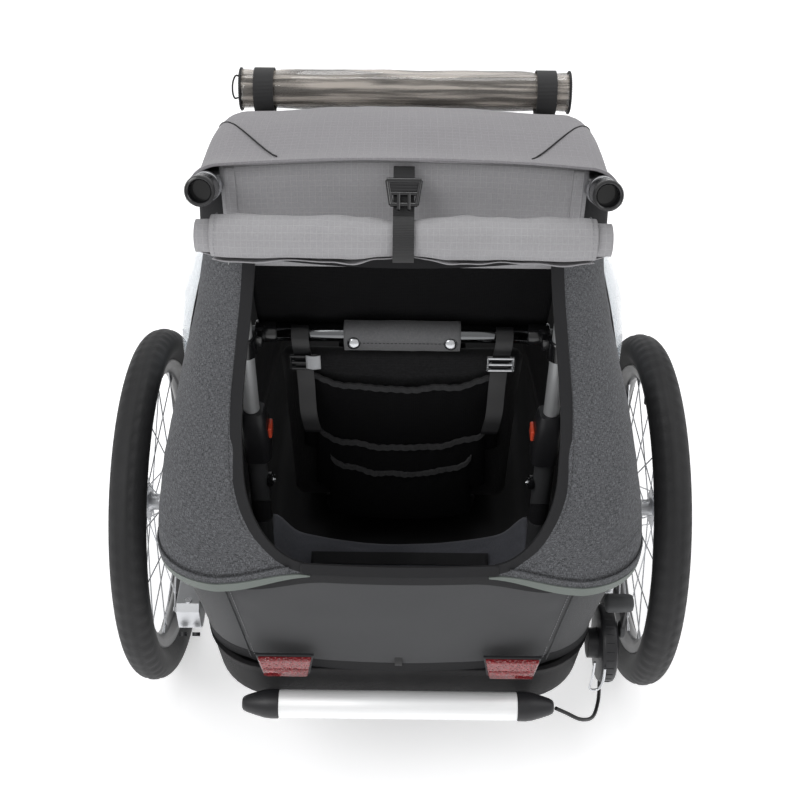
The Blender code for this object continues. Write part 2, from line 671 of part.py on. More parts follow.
def stroller_wheel():
    arm = prism("stroller_arm", [(0.46, 0.163), (0.46, TUB_Z - GAP), (0.632, TUB_Z - GAP), (0.690, 0.238),
                                 (0.765, 0.238), (0.765, 0.220), (0.700, 0.220), (0.642, 0.163)],
                "X", -0.014, 0.014, "alloy")
    head = turned("stroller_head", [(0, 0.019), (0.030, 0.019), (0.034, 0.014)], None,
                  (0, SWIVEL_Y, 0.2165), (0, 0, 1))
    join(arm, head)
    legs = [(-0.036, 0.088), (-0.036, 0.2155), (0.036, 0.2155), (0.036, 0.088),
            (0.027, 0.088), (0.027, 0.2055), (-0.027, 0.2055), (-0.027, 0.088)]
    fork = prism("stroller_fork", legs, "Y", CASTER_Y - 0.014, CASTER_Y + 0.014, "plastic")
    crown = prism("fork_crown", [(-0.020, CASTER_Y), (0.020, CASTER_Y), (0.016, SWIVEL_Y + 0.016),
                                 (-0.016, SWIVEL_Y + 0.016)], "Z", 0.2058, 0.2152, None)
    bolt = rod("fork_bolt", (-0.030, CASTER_Y, CASTER_R), (0.030, CASTER_Y, CASTER_R), 0.0045, None)
    join(fork, crown, bolt)
    profile = [(-0.0235, 0.0052), (-0.0235, 0.016), (-0.016, 0.020), (-0.012, 0.070), (-0.020, 0.078),
               (-0.021, 0.090), (-0.012, CASTER_R), (0.012, CASTER_R), (0.021, 0.090), (0.020, 0.078),
               (0.012, 0.070), (0.016, 0.020), (0.0235, 0.016), (0.0235, 0.0052)]
    wheel = turned("stroller_wheel", profile, "tyre", (0, CASTER_Y, CASTER_R), (1, 0, 0), 24, ring=True)
    return fork, wheel


def build():
    for old in list(bpy.data.objects):
        bpy.data.objects.remove(old)
    floor_frame()
    lower_back_panel()
    bumper()
    seat()
    for side, word in ((-1, "left"), (1, "right")):
        y, z = ARM_PIVOT
        arm_pieces, bush = suspension(side, word)
        arm_pivot = pivot("suspension_pivot_" + word, (side * 0.27, y, z), arm_pieces)
        pivot("axle_pivot_" + word, (side * WHEEL_X, 0, WHEEL_R), main_wheel(side, word), arm_pivot)
    nose = pivot("nose_pivot", (0, *NOSE_PIVOT), upper_frame() + roof() + side_covers())
    strut_pieces, buttons = rear_struts()
    top = pivot("strut_pivot", (0, STRUT_Y, 0.85), strut_pieces, nose)
    for side, word, button in zip((-1, 1), ("left", "right"), buttons):
        pivot("button_pivot_" + word, (side * 0.16, STRUT_Y, BUTTON_Z), [button], top)
    pivot("lever_pivot", (BRAKE_X, *LEVER_PIVOT), [parking_brake()])
    arm, coupler = tow_arm()
    tow = pivot("tow_pivot", (*TOW_PIVOT, TOW_Z), [arm])
    pivot("coupler_pivot", (COUPLER_X, TOW_PIVOT[1], TOW_Z), [coupler], tow)
    fork, wheel = stroller_wheel()
    swivel = pivot("swivel_pivot", (0, SWIVEL_Y, 0.21), [fork])
    pivot("caster_pivot", (0, CASTER_Y, CASTER_R), [wheel], swivel)


build()
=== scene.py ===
import math
import random

import bmesh
import bpy
from mathutils import Matrix, Vector, noise


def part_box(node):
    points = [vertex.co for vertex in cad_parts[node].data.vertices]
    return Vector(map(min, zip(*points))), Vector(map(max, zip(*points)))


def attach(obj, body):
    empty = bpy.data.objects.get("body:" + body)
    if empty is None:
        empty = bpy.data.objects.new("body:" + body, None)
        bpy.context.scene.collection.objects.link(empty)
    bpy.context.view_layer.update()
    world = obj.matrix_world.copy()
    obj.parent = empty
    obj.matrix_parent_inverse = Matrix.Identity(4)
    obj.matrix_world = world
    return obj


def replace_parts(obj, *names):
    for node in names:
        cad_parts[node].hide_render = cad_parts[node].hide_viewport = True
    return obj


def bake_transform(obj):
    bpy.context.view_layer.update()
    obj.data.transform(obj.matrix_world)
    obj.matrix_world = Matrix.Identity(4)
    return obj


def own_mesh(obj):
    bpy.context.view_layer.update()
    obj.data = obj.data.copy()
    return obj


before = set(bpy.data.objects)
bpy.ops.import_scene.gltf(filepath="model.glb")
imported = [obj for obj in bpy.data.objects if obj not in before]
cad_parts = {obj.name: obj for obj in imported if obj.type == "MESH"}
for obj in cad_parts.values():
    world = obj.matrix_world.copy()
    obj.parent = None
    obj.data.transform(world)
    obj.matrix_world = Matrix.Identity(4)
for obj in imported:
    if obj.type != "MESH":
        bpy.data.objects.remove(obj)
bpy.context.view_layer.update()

# Places measured from the frame. Heights are from the ground and y is from the wheel axle, forwards.
AXLE = sum(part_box("tyre_left"), Vector()) / 2
WHEEL_X = -AXLE.x
WHEEL_Z = AXLE.z
WHEEL_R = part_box("tyre_left")[1].z - AXLE.z

# The body's shape, as in the frame's covers, skirt and hoops
HOOP_X = 0.19
HOOP_R = 0.0125
HOOP_ROUTE = [
    (-0.195, 0.897), (-0.13, 0.869), (-0.04, 0.856), (0.03, 0.833), (0.10, 0.793),
    (0.20, 0.725), (0.33, 0.616), (0.45, 0.486), (0.56, 0.328), (0.60, 0.235),
]
SKIRT_TOP = 0.43
COVER_TOP = 0.820
CORNER_R = 0.085
SPLIT_Y = 0.03
HEM_Y = -0.172
ROOF_FRONT = 0.120
STRUT_X = 0.18
STRUT_Y = -0.12
CROSS = (-0.094, 0.6425)


def at(x, y, z):
    return Vector((x, y + AXLE.y, z))


def ease(t):
    t = min(max(t, 0.0), 1.0)
    return t * t * (3 - 2 * t)


def mix(a, b, t):
    return a + (b - a) * t


def spread(low, high, count):
    return [low + (high - low) * i / (count - 1) for i in range(count)]


def smooth_path(route, step):
    """Points about one step apart on a Catmull-Rom curve through the route."""
    points = [Vector(p) for p in route]
    ends = [2 * points[0] - points[1], *points, 2 * points[-1] - points[-2]]
    path = [points[0]]
    for a, b, c, d in zip(ends, ends[1:], ends[2:], ends[3:]):
        count = max(1, round((c - b).length / step))
        for i in range(1, count + 1):
            t = i / count
            path.append(0.5 * (2 * b + (c - a) * t + (2 * a - 5 * b + 4 * c - d) * t ** 2
                               + (3 * b - a - 3 * c + d) * t ** 3))
    return path


HOOP_PATH = smooth_path([(0, y, z) for y, z in HOOP_ROUTE], 0.02)


def hoop_z(y, lift=0.0):
    for a, b in zip(HOOP_PATH, HOOP_PATH[1:]):
        if y <= b.y or b is HOOP_PATH[-1]:
            return a.z + (b.z - a.z) * (y - a.y) / (b.y - a.y) + lift * (b - a).length / (b.y - a.y)


def tub_rim(y):
    return 0.262 + 0.05 * ease((y - 0.25) / 0.3)


def skirt_half(y, z):
    wide = 0.24 + 0.036 * max(0.0, (z - 0.20) / 0.23) ** 1.6
    return wide + (0.215 - wide) * ease((y - 0.2) / 0.4)


def cover_half(y, z):
    forward = 1 - 0.9 * ease((y - 0.1) / 0.5)
    return 0.207 + 0.08 * ease((0.85 - z) / 0.42) * forward


def cover_rear(z):
    return -0.30 + 0.307 * (z - 0.46)


def opening_half(z):
    upper = 0.174 - 0.024 * ease((z - 0.60) / 0.24)
    share = min(max((z - 0.467) / 0.108, 0.0), 1.0)
    return upper - 0.072 * (1 - math.sqrt(1 - (1 - share) ** 2))


def corner_path(half, rear, front, inner, counts):
    """One side of a horizontal section: along the rear face, round the corner and forwards."""
    face, arc, side = counts
    centre = Vector((half(rear + CORNER_R) - CORNER_R, rear + CORNER_R))
    points = [(x, rear + 0.012 * (x / centre.x) ** 2) for x in spread(inner, centre.x, face)[:-1]]
    start = rear + 0.012
    for i in range(arc):
        angle = math.pi / 2 * i / (arc - 1)
        points.append((centre.x + CORNER_R * math.sin(angle),
                       centre.y - (centre.y - start) * math.cos(angle)))
    points += [(half(y), y) for y in spread(centre.y, front, side)[1:]]
    return points


# Materials

class Look:
    """A Principled material whose colour, roughness and relief come from procedural nodes."""

    def __init__(self, name, color, roughness, metallic=0.0, **sockets):
        self.material = bpy.data.materials.new(name)
        self.material.use_nodes = True
        self.tree = self.material.node_tree
        self.shader = self.tree.nodes["Principled BSDF"]
        self.color = color
        self.roughness = roughness
        self.shader.inputs["Base Color"].default_value = (*color, 1)
        self.shader.inputs["Roughness"].default_value = roughness
        self.shader.inputs["Metallic"].default_value = metallic
        for socket, value in sockets.items():
            self.shader.inputs[socket.replace("_", " ")].default_value = value
        self.coords = self.tree.nodes.new("ShaderNodeTexCoord")

    def node(self, kind, inputs=(), **settings):
        made = self.tree.nodes.new("ShaderNode" + kind)
        for key, value in settings.items():
            setattr(made, key, value)
        for socket, value in dict(inputs).items():
            if isinstance(value, bpy.types.NodeSocket):
                self.tree.links.new(value, made.inputs[socket])
            else:
                made.inputs[socket].default_value = value
        return made

    def scaled(self, scale, space="Object"):
        return self.node("Mapping", {"Vector": self.coords.outputs[space], "Scale": scale}).outputs[0]

    def noise(self, scale, stretch=(1, 1, 1), detail=4.0, space="Object"):
        vector = self.scaled([scale * s for s in stretch], space)
        return self.node("TexNoise", {"Vector": vector, "Scale": 1.0, "Detail": detail}).outputs["Fac"]

    def bands(self, period, direction, space="UV"):
        """Sine bands with that period in metres."""
        vector = self.scaled((1, 1, 1), space)
        return self.node("TexWave", {"Vector": vector, "Scale": 0.31416 / period}, wave_type="BANDS",
                         bands_direction=direction, wave_profile="SIN").outputs["Fac"]

    def math(self, operation, a, b=0.0):
        return self.node("Math", {0: a, 1: b}, operation=operation).outputs[0]

    def ramp(self, fac, stops):
        made = self.node("ValToRGB", {"Fac": fac})
        ramp = made.color_ramp
        while len(ramp.elements) < len(stops):
            ramp.elements.new(0.5)
        for element, (place, value) in zip(ramp.elements, stops):
            element.position = place
            element.color = (value, value, value, 1)
        return made.outputs["Color"]

    def tint(self, fac, dark, light):
        """Vary the base colour between two brightness factors by the 0 to 1 input."""
        span = self.node("MapRange", {"Value": fac, "To Min": dark, "To Max": light}).outputs[0]
        base = self.shader.inputs["Base Color"]
        source = base.links[0].from_socket if base.links else (*self.color, 1)
        combined = self.node("Mix", {"Factor": 1.0, 6: source, 7: span}, data_type="RGBA", blend_type="MULTIPLY")
        self.tree.links.new(combined.outputs[2], base)
        return self

    def rough(self, fac, low, high):
        span = self.node("MapRange", {"Value": fac, "To Min": low, "To Max": high}).outputs[0]
        self.tree.links.new(span, self.shader.inputs["Roughness"])
        return self

    def relief(self, height, distance, strength=1.0):
        normal = self.shader.inputs["Normal"]
        inputs = {"Height": height, "Distance": distance, "Strength": strength}
        if normal.links:
            inputs["Normal"] = normal.links[0].from_socket
        made = self.node("Bump", inputs)
        self.tree.links.new(made.outputs[0], normal)
        return self


def metal(name, color, roughness, stretch=(1, 1, 1), grain=400.0, depth=0.00006, metallic=1.0):
    look = Look(name, color, roughness, metallic)
    fine = look.noise(grain, stretch, 3.0)
    look.rough(look.noise(14.0), roughness * 0.8, roughness * 1.35)
    look.tint(fine, 0.93, 1.05).relief(fine, depth)
    return look.material


def plastic(name, color, roughness, grain=900.0, depth=0.00012, specular=0.4):
    look = Look(name, color, roughness, **{"Specular_IOR_Level": specular})
    fine = look.noise(grain, detail=2.0)
    look.rough(look.noise(22.0), roughness * 0.85, roughness * 1.2)
    look.tint(look.noise(35.0), 0.85, 1.2).relief(fine, depth)
    return look.material


def cloth(name, color, period=0.0011, depth=0.00018, flecks=0.0, sheen=0.15, roughness=0.85, space="UV",
          double_grid=0.0):
    """A woven cloth: crossing threads, uneven yarn colour, light and dark flecks, and handling marks."""
    look = Look(name, color, roughness, Sheen_Weight=sheen, Sheen_Roughness=0.5, Specular_IOR_Level=0.25)
    warp = look.bands(period, "X", space)
    weft = look.bands(period, "Y", space)
    threads = look.math("MAXIMUM", warp, weft)
    look.tint(look.noise(9.0, detail=5.0), 0.88, 1.1)
    if flecks:
        along = look.noise(1.0, (1900, 210, 210), 1.0, space)
        across = look.noise(1.0, (210, 1900, 210), 1.0, space)
        yarn = look.math("MAXIMUM", along, across)
        look.tint(look.ramp(yarn, [(0.46, 0.0), (0.66, 1.0)]), 1 - flecks, 1 + 1.3 * flecks)
    if double_grid:
        warp_rib = look.ramp(look.bands(double_grid, "X", space), [(0.93, 0.0), (1.0, 1.0)])
        weft_rib = look.ramp(look.bands(double_grid, "Y", space), [(0.93, 0.0), (1.0, 1.0)])
        rib = look.math("MAXIMUM", warp_rib, weft_rib)
        look.tint(rib, 1.0, 1.12)
        look.relief(rib, 0.0002)
    look.tint(threads, 0.9, 1.06).relief(threads, depth)
    return look.material


def net(name, color):
    """An open mesh cloth, drawn as fine holes."""
    look = Look(name, color, 0.8, Specular_IOR_Level=0.12)
    holes = look.math("MINIMUM", look.bands(0.0024, "X"), look.bands(0.0024, "Y"))
    look.tint(holes, 1.5, 0.4).relief(holes, 0.0003)
    return look.material


def webbing(name, color):
    look = Look(name, color, 0.7, Sheen_Weight=0.1)
    ribs = look.bands(0.0016, "Y")
    look.tint(ribs, 0.75, 1.25).relief(ribs, 0.00035)
    look.tint(look.noise(30.0), 0.85, 1.15)
    return look.material


def film(name, color, alpha, roughness=0.06, painted_highlight_streaks=False):
    look = Look(name, color, roughness, Alpha=alpha, IOR=1.5, Specular_IOR_Level=0.8)
    look.relief(look.noise(18.0, detail=2.0), 0.002, 0.5)
    look.tint(look.noise(40.0), 0.9, 1.05)
    # Painted highlights: long bright streaks along the roll, up to 2.6 times the base colour, with the film between
    # them darkened to 0.55.
    if painted_highlight_streaks:
        look.tint(look.ramp(look.noise(1.0, (7, 130, 130), 2.0), [(0.44, 0.0), (0.60, 1.0)]), 0.55, 2.6)
    return look.material


def rubber(name, color, roughness=0.75, grain=260.0, depth=0.0003):
    look = Look(name, color, roughness, **{"Specular_IOR_Level": 0.35})
    look.rough(look.noise(12.0), roughness * 0.8, min(1.0, roughness * 1.2))
    look.tint(look.noise(60.0), 0.8, 1.25).relief(look.noise(grain), depth)
    return look.material


def leathery(name, color):
    """Moulded plastic with a leather-like grain."""
    look = Look(name, color, 0.55, Specular_IOR_Level=0.22)
    cells = look.node("TexVoronoi", {"Vector": look.coords.outputs["Object"], "Scale": 420.0},
                      feature="DISTANCE_TO_EDGE").outputs["Distance"]
    grain = look.ramp(cells, [(0.0, 0.0), (0.25, 1.0)])
    look.tint(grain, 0.7, 1.1).relief(grain, 0.0003)
    look.tint(look.noise(8.0), 0.85, 1.15)
    look.rough(look.noise(25.0), 0.55, 0.72)
    return look.material


def prismatic(name, color):
    """A red reflector with a field of small prisms."""
    look = Look(name, color, 0.12, Specular_IOR_Level=0.8, Coat_Weight=0.6, Coat_Roughness=0.05)
    cells = look.node("TexVoronoi", {"Vector": look.coords.outputs["Object"], "Scale": 330.0},
                      feature="F1").outputs["Distance"]
    look.tint(cells, 0.7, 1.6).relief(cells, 0.0012)
    return look.material


M = {
    "tube": metal("frame_tube", (0.50, 0.51, 0.53), 0.32, (1, 0.03, 0.03)),
    "satin": metal("satin_tube", (0.93, 0.935, 0.94), 0.45, (0.03, 1, 1), metallic=0.35),
    "strut": metal("strut_tube", (0.62, 0.63, 0.64), 0.42, (1, 1, 0.03), metallic=0.6),
    "chrome": metal("dark_chrome", (0.16, 0.165, 0.17), 0.13, grain=900.0, depth=0.00001),
    "cast": metal("cast_alloy", (0.62, 0.63, 0.65), 0.36, grain=700.0, depth=0.00015),
    "steel": metal("turned_steel", (0.62, 0.63, 0.65), 0.22),
    "spoke": metal("spoke_steel", (0.55, 0.56, 0.58), 0.25),
    "coat": plastic("powder_coat", (0.020, 0.020, 0.022), 0.42, 1200.0),
    "grey_coat": plastic("grey_coat", (0.060, 0.061, 0.064), 0.40, 1200.0),
    "plastic": plastic("black_plastic", (0.018, 0.018, 0.020), 0.38),
    "gloss": plastic("gloss_plastic", (0.010, 0.010, 0.011), 0.16, depth=0.00003, specular=0.6),
    "rim": plastic("rim_anodised", (0.014, 0.014, 0.016), 0.3, 1500.0, 0.00004, 0.7),
    "tyre": rubber("tyre_rubber", (0.017, 0.017, 0.018), 0.62),
    "grip": rubber("grey_grip", (0.075, 0.077, 0.080), 0.6, 500.0, 0.0002),
    "bush": rubber("bush_rubber", (0.03, 0.03, 0.03)),
    "sheath": plastic("cable_sheath", (0.014, 0.014, 0.015), 0.3),
    "tub": leathery("tub_grain", (0.012, 0.0115, 0.0125)),
    "heather": cloth("heather_cloth", (0.082, 0.084, 0.090), 0.0013, flecks=0.62, sheen=0.04),
    "roof": cloth("roof_cloth", (0.235, 0.228, 0.240), 0.0010, 0.00012, flecks=0.06, double_grid=0.0075),
    "roll": cloth("roll_cloth", (0.315, 0.311, 0.322), 0.0010, 0.00012, flecks=0.05, roughness=0.55,
                  double_grid=0.006),
    "panel": cloth("panel_cloth", (0.044, 0.045, 0.048), 0.0009, 0.00010, flecks=0.05, roughness=0.7),
    "lining": cloth("lining_cloth", (0.006, 0.006, 0.0065), 0.0010, sheen=0.03),
    "pocket": net("pocket_net", (0.0045, 0.0045, 0.005)),
    "seat": cloth("seat_cloth", (0.011, 0.011, 0.012), 0.0014, 0.0003, flecks=0.25, sheen=0.05, space="Object"),
    "binding": cloth("binding_tape", (0.012, 0.012, 0.0135), 0.0012, 0.0002, sheen=0.05, roughness=0.75),
    "loop": cloth("loop_cloth", (0.150, 0.151, 0.156), 0.0011, 0.0002, flecks=0.1),
    "hem": cloth("hem_tape", (0.034, 0.034, 0.036), 0.0011, 0.0002, flecks=0.1),
    "flap": cloth("flap_cloth", (0.075, 0.077, 0.090), 0.0012, 0.0002, flecks=0.1),
    "velcro": rubber("hook_tape", (0.020, 0.020, 0.022), 0.9, 900.0, 0.0008),
    "reflect": cloth("reflective_tape", (0.130, 0.150, 0.137), 0.0010, 0.0001, roughness=0.4),
    "webbing": webbing("black_webbing", (0.014, 0.014, 0.015)),
    "thread": plastic("dark_thread", (0.03, 0.03, 0.032), 0.7),
    "pale_thread": plastic("pale_thread", (0.24, 0.24, 0.25), 0.7),
    "tag": cloth("tag_cloth", (0.55, 0.56, 0.58), 0.0009, 0.0002, roughness=0.5),
    "film": film("clear_film", (0.78, 0.86, 0.93), 0.30),
    "roll_film": film("rolled_film", (0.26, 0.238, 0.215), 0.42, 0.03, painted_highlight_streaks=True),
    "red": prismatic("reflector_red", (0.165, 0.006, 0.009)),
    "button": plastic("button_red", (0.80, 0.10, 0.05), 0.3),
    "floor": Look("studio_floor", (0.93, 0.93, 0.94), 0.8, Emission_Color=(1, 1, 1, 1),
                  Emission_Strength=0.46).material,
}


# Mesh helpers

def settle(obj, body, material, nodes=()):
    """Give a finished piece its material, its body and the frame nodes that it stands for."""
    for each in material if isinstance(material, (list, tuple)) else [material]:
        obj.data.materials.append(M[each])
    if body:
        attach(obj, body)
    if nodes:
        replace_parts(obj, *nodes)
    return obj


def made(name, bm, smooth=40):
    bmesh.ops.recalc_face_normals(bm, faces=bm.faces)
    mesh = bpy.data.meshes.new(name)
    bm.to_mesh(mesh)
    bm.free()
    mesh.shade_smooth()
    if smooth:
        mesh.set_sharp_from_angle(angle=math.radians(smooth))
    obj = bpy.data.objects.new(name, mesh)
    bpy.context.scene.collection.objects.link(obj)
    return obj


def grid(name, rows, closed=False, smooth=0, flip=False):
    """A sheet through rows of points, with UVs in metres along its middle row and column."""
    bm = bmesh.new()
    verts = [[bm.verts.new(p) for p in row] for row in rows]
    uv = bm.loops.layers.uv.new("UVMap")
    count = len(rows[0])
    middle = len(rows) // 2
    wrap = list(rows[middle]) + [rows[middle][0]]
    us = [0.0]
    for a, b in zip(wrap, wrap[1:]):
        us.append(us[-1] + (Vector(b) - Vector(a)).length)
    vs = [0.0]
    for a, b in zip(rows, rows[1:]):
        vs.append(vs[-1] + (Vector(b[count // 2]) - Vector(a[count // 2])).length)
    last = count if closed else count - 1
    for r in range(len(rows) - 1):
        for c in range(last):
            d = (c + 1) % count
            face = bm.faces.new((verts[r][c], verts[r][d], verts[r + 1][d], verts[r + 1][c]))
            places = ((us[c], vs[r]), (us[c + 1], vs[r]), (us[c + 1], vs[r + 1]), (us[c], vs[r + 1]))
            for loop, place in zip(face.loops, places):
                loop[uv].uv = place
    if flip:
        bmesh.ops.reverse_faces(bm, faces=bm.faces)
    mesh = bpy.data.meshes.new(name)
    bm.to_mesh(mesh)
    bm.free()
    mesh.shade_smooth()
    if smooth:
        mesh.set_sharp_from_angle(angle=math.radians(smooth))
    obj = bpy.data.objects.new(name, mesh)
    bpy.context.scene.collection.objects.link(obj)
    return obj


def thicken(obj, thickness, inner=0, offset=0.0):
    solid = obj.modifiers.new("thickness", "SOLIDIFY")
    solid.thickness = thickness
    solid.offset = offset
    solid.material_offset = inner
    return obj


def soften(obj, levels=1):
    smooth = obj.modifiers.new("smooth", "SUBSURF")
    smooth.levels = smooth.render_levels = levels
    return obj


def lathe(name, profile, place, axis, steps=64, ring=False, smooth=35, wobble=None):
    """Turn (distance along the axis, radius) points about an axis through place."""
    bm = bmesh.new()
    turn = Vector(axis).to_track_quat("Z", "Y").to_matrix().to_4x4()
    whole = Matrix.Translation(place) @ turn
    rings = []
    for a, r in profile:
        if r == 0:
            rings.append([bm.verts.new(whole @ Vector((0, 0, a)))])
            continue
        ring_points = []
        for i in range(steps):
            angle = 2 * math.pi * i / steps
            grow = wobble(a, angle) if wobble else 0.0
            ring_points.append(bm.verts.new(whole @ Vector(
                ((r + grow) * math.cos(angle), (r + grow) * math.sin(angle), a))))
        rings.append(ring_points)
    pairs = list(zip(rings, rings[1:])) + ([(rings[-1], rings[0])] if ring else [])
    for low, high in pairs:
        for i in range(steps):
            j = (i + 1) % steps
            corners = [low[i % len(low)], low[j % len(low)], high[j % len(high)], high[i % len(high)]]
            bm.faces.new(list(dict.fromkeys(corners)))
    return made(name, bm, smooth)


def pipe(name, path, radius, sides=16):
    """A round tube through points, with flat ends."""
    curve = bpy.data.curves.new(name, "CURVE")
    curve.dimensions = "3D"
    curve.bevel_depth = radius
    curve.bevel_resolution = max(1, sides // 2 - 2)
    curve.use_fill_caps = True
    spline = curve.splines.new("POLY")
    spline.points.add(len(path) - 1)
    for point, place in zip(spline.points, path):
        point.co = (*place, 1)
    obj = bpy.data.objects.new(name, curve)
    bpy.context.scene.collection.objects.link(obj)
    return to_mesh(obj)


def to_mesh(obj):
    """Replace an object by the mesh that it evaluates to."""
    bpy.context.view_layer.update()
    graph = bpy.context.evaluated_depsgraph_get()
    mesh = bpy.data.meshes.new_from_object(obj.evaluated_get(graph), depsgraph=graph)
    mesh.name = obj.name
    result = bpy.data.objects.new(obj.name + "_mesh", mesh)
    result.matrix_world = obj.matrix_world.copy()
    bpy.context.scene.collection.objects.link(result)
    name = obj.name
    bpy.data.objects.remove(obj)
    result.name = name
    return result


def ribbon(name, path, across, width, thickness, lift=0.0):
    """A flat strap along a path. across(i) is the direction of its width at point i, and width may be a list."""
    rows = []
    for i, place in enumerate(path):
        ahead = path[min(i + 1, len(path) - 1)] - path[max(i - 1, 0)]
        side = Vector(across(i) if callable(across) else across).normalized()
        out = side.cross(ahead).normalized()
        half, t = (width[i] if isinstance(width, list) else width) / 2, thickness / 2
        section = [(-half, -t), (-half * 0.5, -t), (half * 0.5, -t), (half, -t), (half, t), (half * 0.5, t),
                   (-half * 0.5, t), (-half, t)]
        rows.append([place + side * u + out * (v + lift) for u, v in section])
    obj = grid(name, rows, closed=True, smooth=50)
    bm = bmesh.new()
    bm.from_mesh(obj.data)
    bmesh.ops.holes_fill(bm, edges=[e for e in bm.edges if e.is_boundary], sides=0)
    bm.to_mesh(obj.data)
    bm.free()
    return obj


def blocks(name, boxes, bevel=0.0015, segments=2):
    """Several rounded blocks as one piece. Each is (low corner, high corner)."""
    bm = bmesh.new()
    for low, high in boxes:
        low, high = Vector(low), Vector(high)
        made_verts = bmesh.ops.create_cube(bm, size=1)["verts"]
        size = high - low
        bmesh.ops.scale(bm, vec=[abs(s) for s in size], verts=made_verts)
        bmesh.ops.translate(bm, vec=(low + high) / 2, verts=made_verts)
    bmesh.ops.bevel(bm, geom=bm.edges, offset=bevel, segments=segments, affect="EDGES", profile=0.5)
    return made(name, bm, 35)


def loft(name, loops, smooth=35):
    bm = bmesh.new()
    rings = [[bm.verts.new(p) for p in loop] for loop in loops]
    for below, above in zip(rings, rings[1:]):
        for i in range(len(below)):
            j = (i + 1) % len(below)
            bm.faces.new((below[i], below[j], above[j], above[i]))
    bm.faces.new(rings[0])
    bm.faces.new(rings[-1])
    return made(name, bm, smooth)


def stitches(name, path, length=0.0030, gap=0.0016, radius=0.00035, lift=Vector((0, 0, 0))):
    """A row of thread stitches along a path, as one piece."""
    bm = bmesh.new()
    travelled, start, inked = 0.0, path[0], True
    for a, b in zip(path, path[1:]):
        span = (b - a).length
        done = 0.0
        while span - done > 1e-9:
            step = min((length if inked else gap) - travelled, span - done)
            done += step
            travelled += step
            here = a + (b - a) * (done / span)
            if travelled >= (length if inked else gap) - 1e-9:
                if inked:
                    rod_between(bm, start + lift, here + lift, radius, 5, pointed=True)
                start, travelled, inked = here, 0.0, not inked
    return made(name, bm, 0)


def rod_between(bm, a, b, radius, sides=8, pointed=False, end_radius=None):
    along = b - a
    turn = along.to_track_quat("Z", "Y").to_matrix()
    stops = [(0.0, 0.25), (0.2, 1.0), (0.8, 1.0), (1.0, 0.25)] if pointed else [(0.0, 1.0), (1.0, 1.0)]
    rings = []
    for share, grow in stops:
        r = mix(radius, end_radius, share) if end_radius else radius * grow
        rings.append([bm.verts.new(a + along * share + turn @ Vector((
            r * math.cos(2 * math.pi * i / sides), r * math.sin(2 * math.pi * i / sides), 0)))
            for i in range(sides)])
    for low, high in zip(rings, rings[1:]):
        for i in range(sides):
            bm.faces.new((low[i], low[(i + 1) % sides], high[(i + 1) % sides], high[i]))
    bm.faces.new(rings[0])
    bm.faces.new(rings[-1])


def ripple(point, size, seed):
    """Smooth unevenness from -1 to 1 at a point."""
    return noise.noise(Vector(point) / size + Vector((seed, seed * 0.7, -seed)))


# Camera, light and floor

def studio():
    camera = bpy.data.objects.new("camera", bpy.data.cameras.new("camera"))
    bpy.context.scene.collection.objects.link(camera)
    camera.data.lens = 52.7
    camera.data.sensor_width = 36
    camera.location = at(0.0, -1.159, 1.493)
    pitch, yaw, roll = math.radians(90 - 41.9), math.radians(0.1), math.radians(0.6)
    camera.matrix_world = (Matrix.Translation(camera.location) @ Matrix.Rotation(yaw, 4, "Z")
                           @ Matrix.Rotation(pitch, 4, "X") @ Matrix.Rotation(roll, 4, "Z"))
    bpy.context.scene.camera = camera
    world = bpy.data.worlds.new("studio")
    world.use_nodes = True
    nodes, links = world.node_tree.nodes, world.node_tree.links
    split = nodes.new("ShaderNodeSeparateXYZ")
    links.new(nodes.new("ShaderNodeTexCoord").outputs["Generated"], split.inputs[0])
    sky = nodes.new("ShaderNodeValToRGB")
    links.new(split.outputs["Z"], sky.inputs["Fac"])
    for element, (place, value) in zip(sky.color_ramp.elements, ((0.0, 0.85), (0.75, 1.0))):
        element.position = place
        element.color = (value, value, value, 1)
    links.new(sky.outputs["Color"], nodes["Background"].inputs["Color"])
    nodes["Background"].inputs["Strength"].default_value = 0.73
    bpy.context.scene.world = world
    bpy.context.scene.view_settings.view_transform = "Standard"
    for name, place, size, power in (("key", (-1.3, -1.5, 2.6), 1.2, 20), ("fill", (1.8, -0.4, 2.2), 1.4, 8),
                                     ("top", (0.1, 0.9, 2.9), 1.0, 14)):
        light = bpy.data.objects.new(name, bpy.data.lights.new(name, "AREA"))
        light.data.size = size
        light.data.energy = power
        light.location = place
        light.rotation_euler = (at(0, 0, 0.4) - light.location).to_track_quat("-Z", "Y").to_euler()
        bpy.context.scene.collection.objects.link(light)
    floor = grid("studio_floor", [[(x, y, -0.0005) for x in (-14, 14)] for y in (-14, 14)])
    floor.data.materials.append(M["floor"])


studio()


# Wheels

TREAD_BLOCKS = 72


